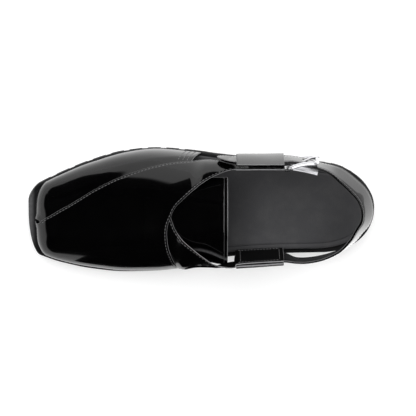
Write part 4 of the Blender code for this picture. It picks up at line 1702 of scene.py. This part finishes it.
@dataclass
class BackStrap:
    """The strap round the heel, with punched holes and stitched edges."""

    rows: tuple[tuple[float, float, float, float], ...] = (
        (158.2, 48.4, 51.6, 6.0), (166.0, 47.4, 52.8, 8.0), (174.3, 46.6, 53.5, 11.0), (194.0, 46.8, 53.5, 12.0),
        (213.0, 47.0, 53.5, 11.5), (220.0, 47.0, 54.2, 9.5), (230.0, 45.4, 55.6, 9.0), (240.4, 42.6, 57.4, 9.5),
        (250.0, 40.0, 60.6, 16.0), (258.8, 35.7, 63.6, 30.0), (268.6, 27.9, 65.6, 35.0), (276.9, 19.0, 66.0, 38.0),
        (280.6, 8.0, 66.0, 36.5), (279.6, -2.0, 66.0, 32.5), (274.2, -10.2, 65.6, 26.5), (268.4, -18.6, 64.8, 20.0),
        (258.6, -26.9, 63.2, 9.0), (245.6, -32.8, 60.6, 2.0), (233.0, -35.8, 57.6, -0.5), (223.0, -36.2, 54.9, -2.0),
        (213.0, -34.2, 52.7, -11.5), (196.0, -34.63, 52.6, -15.0), (179.0, -35.8, 52.6, -15.6),
    )
    width: float = 19.0
    thickness: float = 2.2
    holes: tuple[float, ...] = (163.0, 168.5, 217.5, 237.0)
    hole_radius: float = 1.25
    punch_reach: float = 4.0
    # The prong's slot: its radius, and the first and last place on the prong's line that it follows
    slot_radius: float = 1.2
    slot_places: tuple[float, float] = (0.3, 4.0)
    stitch_inset: float = 2.1

    def build(self, shop: Workshop) -> None:
        """Makes the strap, punches its holes and sews its edges.

        Args:
            shop: where pieces are made.
        """
        strip = Strip(
            self.rows, self.width, self.thickness, tip_round=9.0, crown=0.25, groove=0.16, raw=0.5, rounding=1.2,
        )
        made = shop.piece("back_strap_leather", strip.shape(), [PATENT], Slot.PATENT, ["back_strap"], sharp=50.0)
        self.punch(shop, made, strip)
        shop.piece("back_strap_stitching", strip.stitches(self.stitch_inset), [THREAD], Slot.PATENT)

    def punch(self, shop: Workshop, strap: bpy.types.Object, strip: Strip) -> None:
        """Cuts the row of holes and the prong's slot through the strap.

        Args:
            shop: where meshes are made.
            strap: the strap's piece.
            strip: the strip that it follows.
        """
        middle, tall, deep, _ = strip.path()
        lateral = middle[:, 1] > 0
        shapes = []
        for station in self.holes:
            k = int(np.argmin(np.where(lateral, np.abs(middle[:, 0] - station), 1e9)))
            along = unit(np.cross(tall[k], deep[k]))
            turns = 2 * math.pi * np.arange(20) / 20
            ring = (tall[k] * np.cos(turns)[:, None] + along * np.sin(turns)[:, None]) * self.hole_radius
            reach = deep[k] * self.punch_reach
            shapes.append(loft(np.array([middle[k] + ring - reach, middle[k] + ring + reach])))
        way = flowing(np.array(PRONG_LINE), np.linspace(*self.slot_places, 30))
        shapes.append(tube(way, np.full(len(way), self.slot_radius), 14))
        cutter = shop.mesh("hole_punch", joined(shapes), [LINING])
        cut = strap.modifiers.new("holes", "BOOLEAN")
        cut.operation, cut.solver, cut.object = "DIFFERENCE", "EXACT", cutter
        whole = bpy.data.meshes.new_from_object(strap.evaluated_get(bpy.context.evaluated_depsgraph_get()))
        strap.modifiers.clear()
        strap.data = whole
        bpy.data.objects.remove(cutter)


@dataclass
class Buckle:
    """The chape that holds the buckle, its bowed frame, its prong and the plate behind the strap."""

    near: float = 216.4
    far: float = 240.0
    middle: float = 55.7
    window: float = 22.6
    bar: float = 2.4
    depth: float = 3.4
    round_reach: float = 2.0
    round_height: float = 8.0
    deepen_reach: float = 7.0
    deepen_height: float = 2.5
    corner: float = 4.0
    far_across: float = 46.8
    drop: float = 4.8
    drop_power: float = 2.6
    lean: float = 4.0
    prong_radius: float = 0.9
    prong_taper: float = 0.25
    prong_tip: tuple[float, ...] = (0.92, 0.75, 0.35)
    chape_width: float = 14.0
    chape_thickness: float = 1.6
    plate_width: float = 4.8
    plate_thickness: float = 1.3
    chape: tuple[tuple[float, float, float, float], ...] = (
        (184.0, 44.4, 53.2, 8.0), (200.0, 44.65, 53.2, 8.3), (211.0, 44.8, 53.4, 8.6), (214.0, 44.6, 54.0, 6.0),
        (216.4, 44.45, 54.6, 5.0), (218.1, 43.8, 54.6, 3.5), (218.8, 42.1, 54.6, 0.0), (218.1, 40.4, 54.6, -3.5),
        (216.4, 39.7, 54.6, -5.0), (213.9, 39.7, 54.6, -5.0),
    )
    plate: tuple[tuple[float, float, float, float], ...] = (
        (220.1, 42.0, 64.6, 50.0), (230.0, 40.2, 65.2, 50.0), (240.0, 37.9, 66.2, 50.0),
    )

    def frame_path(self) -> Array:
        """Draws the frame's centre line.

        Returns:
            Points all the way round.
        """
        half, reach = (self.window + self.bar) / 2, (self.far - self.near) / 2
        centre = (self.near + self.far) / 2
        flat = []
        for quarter, (along, tall) in enumerate(((1, 1), (-1, 1), (-1, -1), (1, -1))):
            for k in range(10):
                turn = 0.5 * math.pi * (quarter + k / 9)
                flat.append((
                    centre + along * (reach - self.corner) + self.corner * math.cos(turn),
                    self.middle + tall * (half - self.corner) + self.corner * math.sin(turn),
                ))
            start, level = flat[-1]
            if along * tall > 0:
                flat += [(start - along * 2 * (reach - self.corner) * k / 12, level) for k in range(1, 12)]
            else:
                flat += [(start, level + along * 2 * (half - self.corner) * k / 12) for k in range(1, 12)]
        station, height = np.array(flat).T
        bowed = np.maximum(1 - (station - self.near) / (self.far - self.near), 0.0) ** self.drop_power
        across = self.far_across - self.drop * bowed - (height - self.middle) * math.tan(math.radians(self.lean))
        return np.stack([station, across, height], -1)

    def build(self, shop: Workshop) -> None:
        """Makes the chape, the frame, the prong and the plate.

        Args:
            shop: where pieces are made.
        """
        chape = Strip(self.chape, self.chape_width, self.chape_thickness, crown=0.1)
        shop.piece("chape_leather", chape.shape(), [PATENT], Slot.PATENT, ["chape"], sharp=50.0)
        path = self.frame_path()
        along = eased((path[:, 0] - self.near - self.round_reach) / self.deepen_reach)
        tall = eased((np.abs(path[:, 2] - self.middle) - self.round_height) / self.deepen_height)
        flat = mixed(1.0, self.depth / self.bar, np.maximum(along, tall))
        ring = tube(path, np.full(len(path), self.bar / 2), 18, closed=True, flat=flat)
        shop.piece("buckle_frame_steel", ring, [STEEL], Slot.STEEL, ["buckle_frame"])
        line = flowing(np.array(PRONG_LINE), np.linspace(0, len(PRONG_LINE) - 1, 36))
        radii = self.prong_radius - self.prong_taper * eased(np.linspace(-1.2, 1, len(line)))
        radii[-len(self.prong_tip):] *= np.array(self.prong_tip)
        shop.piece("buckle_prong_steel", tube(line, radii, 14), [STEEL], Slot.STEEL, ["buckle_prong"])
        plate = Strip(self.plate, self.plate_width, self.plate_thickness, steps=12, crown=0.15)
        shop.piece("buckle_plate_steel", plate.shape(), [STEEL], Slot.STEEL, ["buckle_plate"], sharp=50.0)


@dataclass(frozen=True)
class Flag:
    """A black sheet that is only seen in reflections, from across and height profiles at places along the shoe."""

    name: str
    rows: tuple[tuple[float, tuple[tuple[float, float], ...]], ...]

    def grid(self) -> Array:
        """Its points in rows and columns."""
        return np.array([[(place, *point) for point in profile] for place, profile in self.rows], float)


def straight_flag(name: str, profile: tuple[tuple[float, float], ...], ends: tuple[float, float]) -> Flag:
    """A flag with the same profile from end to end."""
    return Flag(name, tuple((end, profile) for end in ends))


def hanging_flag(name: str, across: float, top: float, hem: tuple[tuple[float, float], ...]) -> Flag:
    """An upright flag with a shaped lower edge."""
    return Flag(name, tuple((place, ((across, low), (across, top))) for place, low in hem))


@dataclass
class Studio:
    """Floor, soft lights and the camera above the shoe, tilted to its lateral side."""

    floor_half: float = 3.0
    floor_height: float = -0.02
    floor_lines: int = 13
    tilt: float = 9.0
    distance: float = 1.6
    span: float = 0.3502
    aim: tuple[float, float, float] = (0.00606, 0.002, 0.014)
    sky_place: tuple[float, float, float] = (0.0, 1.2, 2.4)
    sky_size: float = 4.5
    sky_watts: float = 208.0
    metal_place: tuple[float, float, float] = (0.0, 0.2, 1.2)
    metal_size: float = 5.0
    metal_watts: float = 125.0
    ambient: tuple[float, float, float] = (0.012, 0.012, 0.013)
    screen_radius: float = 1200.0
    screen_height: float = 60.0
    screen_soft: float = 0.22
    # Glowing screen: bearing from the lateral side towards the toe, and elevation of its top, in degrees
    screen_tops: tuple[tuple[float, float], ...] = (
        (-125, 12), (-60, 38), (-25, 52), (0, 53), (20, 45), (34, 40), (44, 31), (62, 29), (78, 31), (90, 38),
        (104, 46), (118, 50), (130, 34), (142, 24), (152, 18), (161, 10), (168, 2),
    )
    flags: tuple[Flag, ...] = (
        straight_flag("medial_flag", ((-95, 0), (-97, 40), (-105, 62), (-130, 74), (-180, 78)), (-122, 150)),
        straight_flag("medial_high_flag", ((-100, 56), (-130, 160)), (-136, 60)),
        straight_flag("arch_flag", ((-50, 0.3), (-96, 0.3)), (-14, 50)),
        straight_flag("vamp_flag", ((-75, 92), (24, 92)), (-75, 4)),
        hanging_flag("tongue_flag", 58, 125, ((-60, 100), (-41, 79), (-29.5, 69), (-18, 60.5), (-5, 60), (30, 60))),
        hanging_flag("toe_flag", 80, 150, (
            (-200, 110), (-175, 62), (-158, 47), (-146, 37), (-130, 35), (-115, 43), (-104, 60), (-90, 100),
        )),
    )
    # Bright card on the floor behind the heel: place along the shoe and brightness, and its two sides
    card_gains: tuple[tuple[float, float], ...] = ((28, 1.3), (60, 1.6), (110, 1.5), (200, 2.2), (420, 2.4))
    card_sides: tuple[float, float] = (-70.0, 420.0)
    card_height: float = 0.4
    backdrop_radius: float = 2900.0
    backdrop_height: float = 2500.0

    def stand(self, shop: Workshop, name: str, grid: Array, finish: Finish | Glow, marks: Array) -> bpy.types.Object:
        """Sets up a sheet of the studio.

        Args:
            shop: where meshes are made.
            name: the sheet's name.
            grid: its points in rows and columns, in millimetres from the frame's origin.
            finish: its finish.
            marks: mark of each point.

        Returns:
            The sheet, which casts no shadow and is seen by no ray yet unless it is the floor.
        """
        faces = grid_faces(np.arange(marks.size).reshape(marks.shape))
        shape = Shape(grid.reshape(-1, 3) + ORIGIN, faces, [0] * len(faces), marks.reshape(-1).astype(float))
        made = shop.mesh(name, shape, [finish])
        if finish is not PAPER:
            made.visible_camera = made.visible_glossy = made.visible_diffuse = False
            made.visible_transmission = made.visible_volume_scatter = made.visible_shadow = False
        return made

    def sheets(self, shop: Workshop) -> None:
        """Lays the paper floor and stands the screen, the flags, the card and the backdrop round it.

        Args:
            shop: where pieces are made.
        """
        line = np.linspace(-self.floor_half / MM, self.floor_half / MM, self.floor_lines)
        along, across = np.meshgrid(line, line, indexing="xy")
        grid = np.stack([along, across, np.full(along.shape, self.floor_height)], -1)
        self.stand(shop, "studio_floor", grid, PAPER, np.zeros(along.shape))
        bearings = np.arange(self.screen_tops[0][0], self.screen_tops[-1][0] + 1, 2.5)
        tops = through(*zip(*self.screen_tops), bearings)
        rises = np.radians(np.linspace(0, self.screen_height, 41))
        turn, rise = np.meshgrid(np.radians(bearings), rises, indexing="ij")
        grid = np.stack([-np.sin(turn) * np.cos(rise), np.cos(turn) * np.cos(rise), np.sin(rise)], -1)
        glow = 1 - eased((np.degrees(rise) / tops[:, None] - 1 + self.screen_soft) / self.screen_soft)
        screen = self.stand(shop, "glowing_screen", grid * self.screen_radius, SCREEN, glow)
        screen.visible_glossy = True
        for flag in self.flags:
            grid = flag.grid()
            self.stand(shop, flag.name, grid, LINING, np.zeros(grid.shape[:2])).visible_glossy = True
        places, gains = np.array(self.card_gains, float).T
        along, across = np.meshgrid(places, np.array(self.card_sides), indexing="ij")
        grid = np.stack([along, across, np.full(along.shape, self.card_height)], -1)
        card = self.stand(shop, "heel_card", grid, SCREEN, np.repeat(gains[:, None], 2, axis=1))
        card.visible_glossy = True
        turn, rise = np.meshgrid(np.radians(np.arange(0, 361, 5)), np.array([0.0, 0.5, 1.0]), indexing="ij")
        round_about = [self.backdrop_radius * np.cos(turn), self.backdrop_radius * np.sin(turn)]
        grid = np.stack(round_about + [rise * self.backdrop_height], -1)
        backdrop = self.stand(shop, "white_backdrop", grid, BACKDROP, np.ones(turn.shape))
        backdrop.visible_camera = True

    def light(
        self, name: str, place: tuple[float, float, float], size: float, watts: float,
        receivers: bpy.types.Collection | None = None,
    ) -> None:
        """Hangs a square soft light that looks at the shoe.

        Args:
            name: the light's name.
            place: where it hangs, in metres.
            size: its width in metres.
            watts: its power.
            receivers: the only pieces that it lights, which also mirror it. Others don't mirror lights.
        """
        data = bpy.data.lights.new(name, "AREA")
        data.shape, data.size, data.energy = "SQUARE", size, watts
        made = bpy.data.objects.new(name, data)
        bpy.context.scene.collection.objects.link(made)
        made.location = place
        made.rotation_mode = "QUATERNION"
        made.rotation_quaternion = Vector(place).to_track_quat("Z", "Y")
        made.visible_camera = False
        made.visible_glossy = receivers is not None
        if receivers is not None:
            made.light_linking.receiver_collection = receivers

    def camera(self) -> None:
        """Sets the camera at the photograph's angle."""
        turn = math.radians(self.tilt)
        back = Vector((0.0, math.sin(turn), math.cos(turn)))
        data = bpy.data.cameras.new("camera")
        data.sensor_width = 36.0
        data.lens = data.sensor_width * self.distance / self.span
        made = bpy.data.objects.new("camera", data)
        bpy.context.scene.collection.objects.link(made)
        axes = Matrix(((1.0, 0.0, 0.0), (0.0, math.cos(turn), -math.sin(turn)), tuple(back))).transposed()
        made.matrix_world = Matrix.Translation(Vector(self.aim) + back * self.distance) @ axes.to_4x4()
        bpy.context.scene.camera = made

    def build(self, shop: Workshop) -> None:
        """Sets up the floor, the lights, the surroundings and the camera.

        Args:
            shop: where pieces are made.
        """
        self.sheets(shop)
        self.light("sky_panel", self.sky_place, self.sky_size, self.sky_watts)
        self.light("metal_panel", self.metal_place, self.metal_size, self.metal_watts, shop.metal)
        world = bpy.data.worlds.new("studio")
        bpy.context.scene.world = world
        world.use_nodes = True
        world.node_tree.nodes["Background"].inputs["Color"].default_value = (*self.ambient, 1.0)
        bpy.context.scene.view_settings.view_transform = "Standard"
        self.camera()


def main() -> None:
    """Builds the studio and every sub-assembly in order."""
    logging.basicConfig(level=logging.INFO, format="%(name)s %(message)s")
    shop = Workshop()
    loops = [
        Loop(Side.LATERAL, (45.0, 40.0, 45.6, 40.0), (41.4, 66.0, 41.6, 66.0), 5.0, wall=1.0, slant=0.5),
        Loop(Side.MEDIAL, (-31.0, 40.0, -29.0, 40.0), (-38.3, 66.0, -35.6, 66.0), 2.8),
    ]
    for assembly in (Studio(), Outsole(), Insole(), Upper(), Tongue(), *loops, BackStrap(), Buckle()):
        assembly.build(shop)


if __name__ == "__main__":
    main()
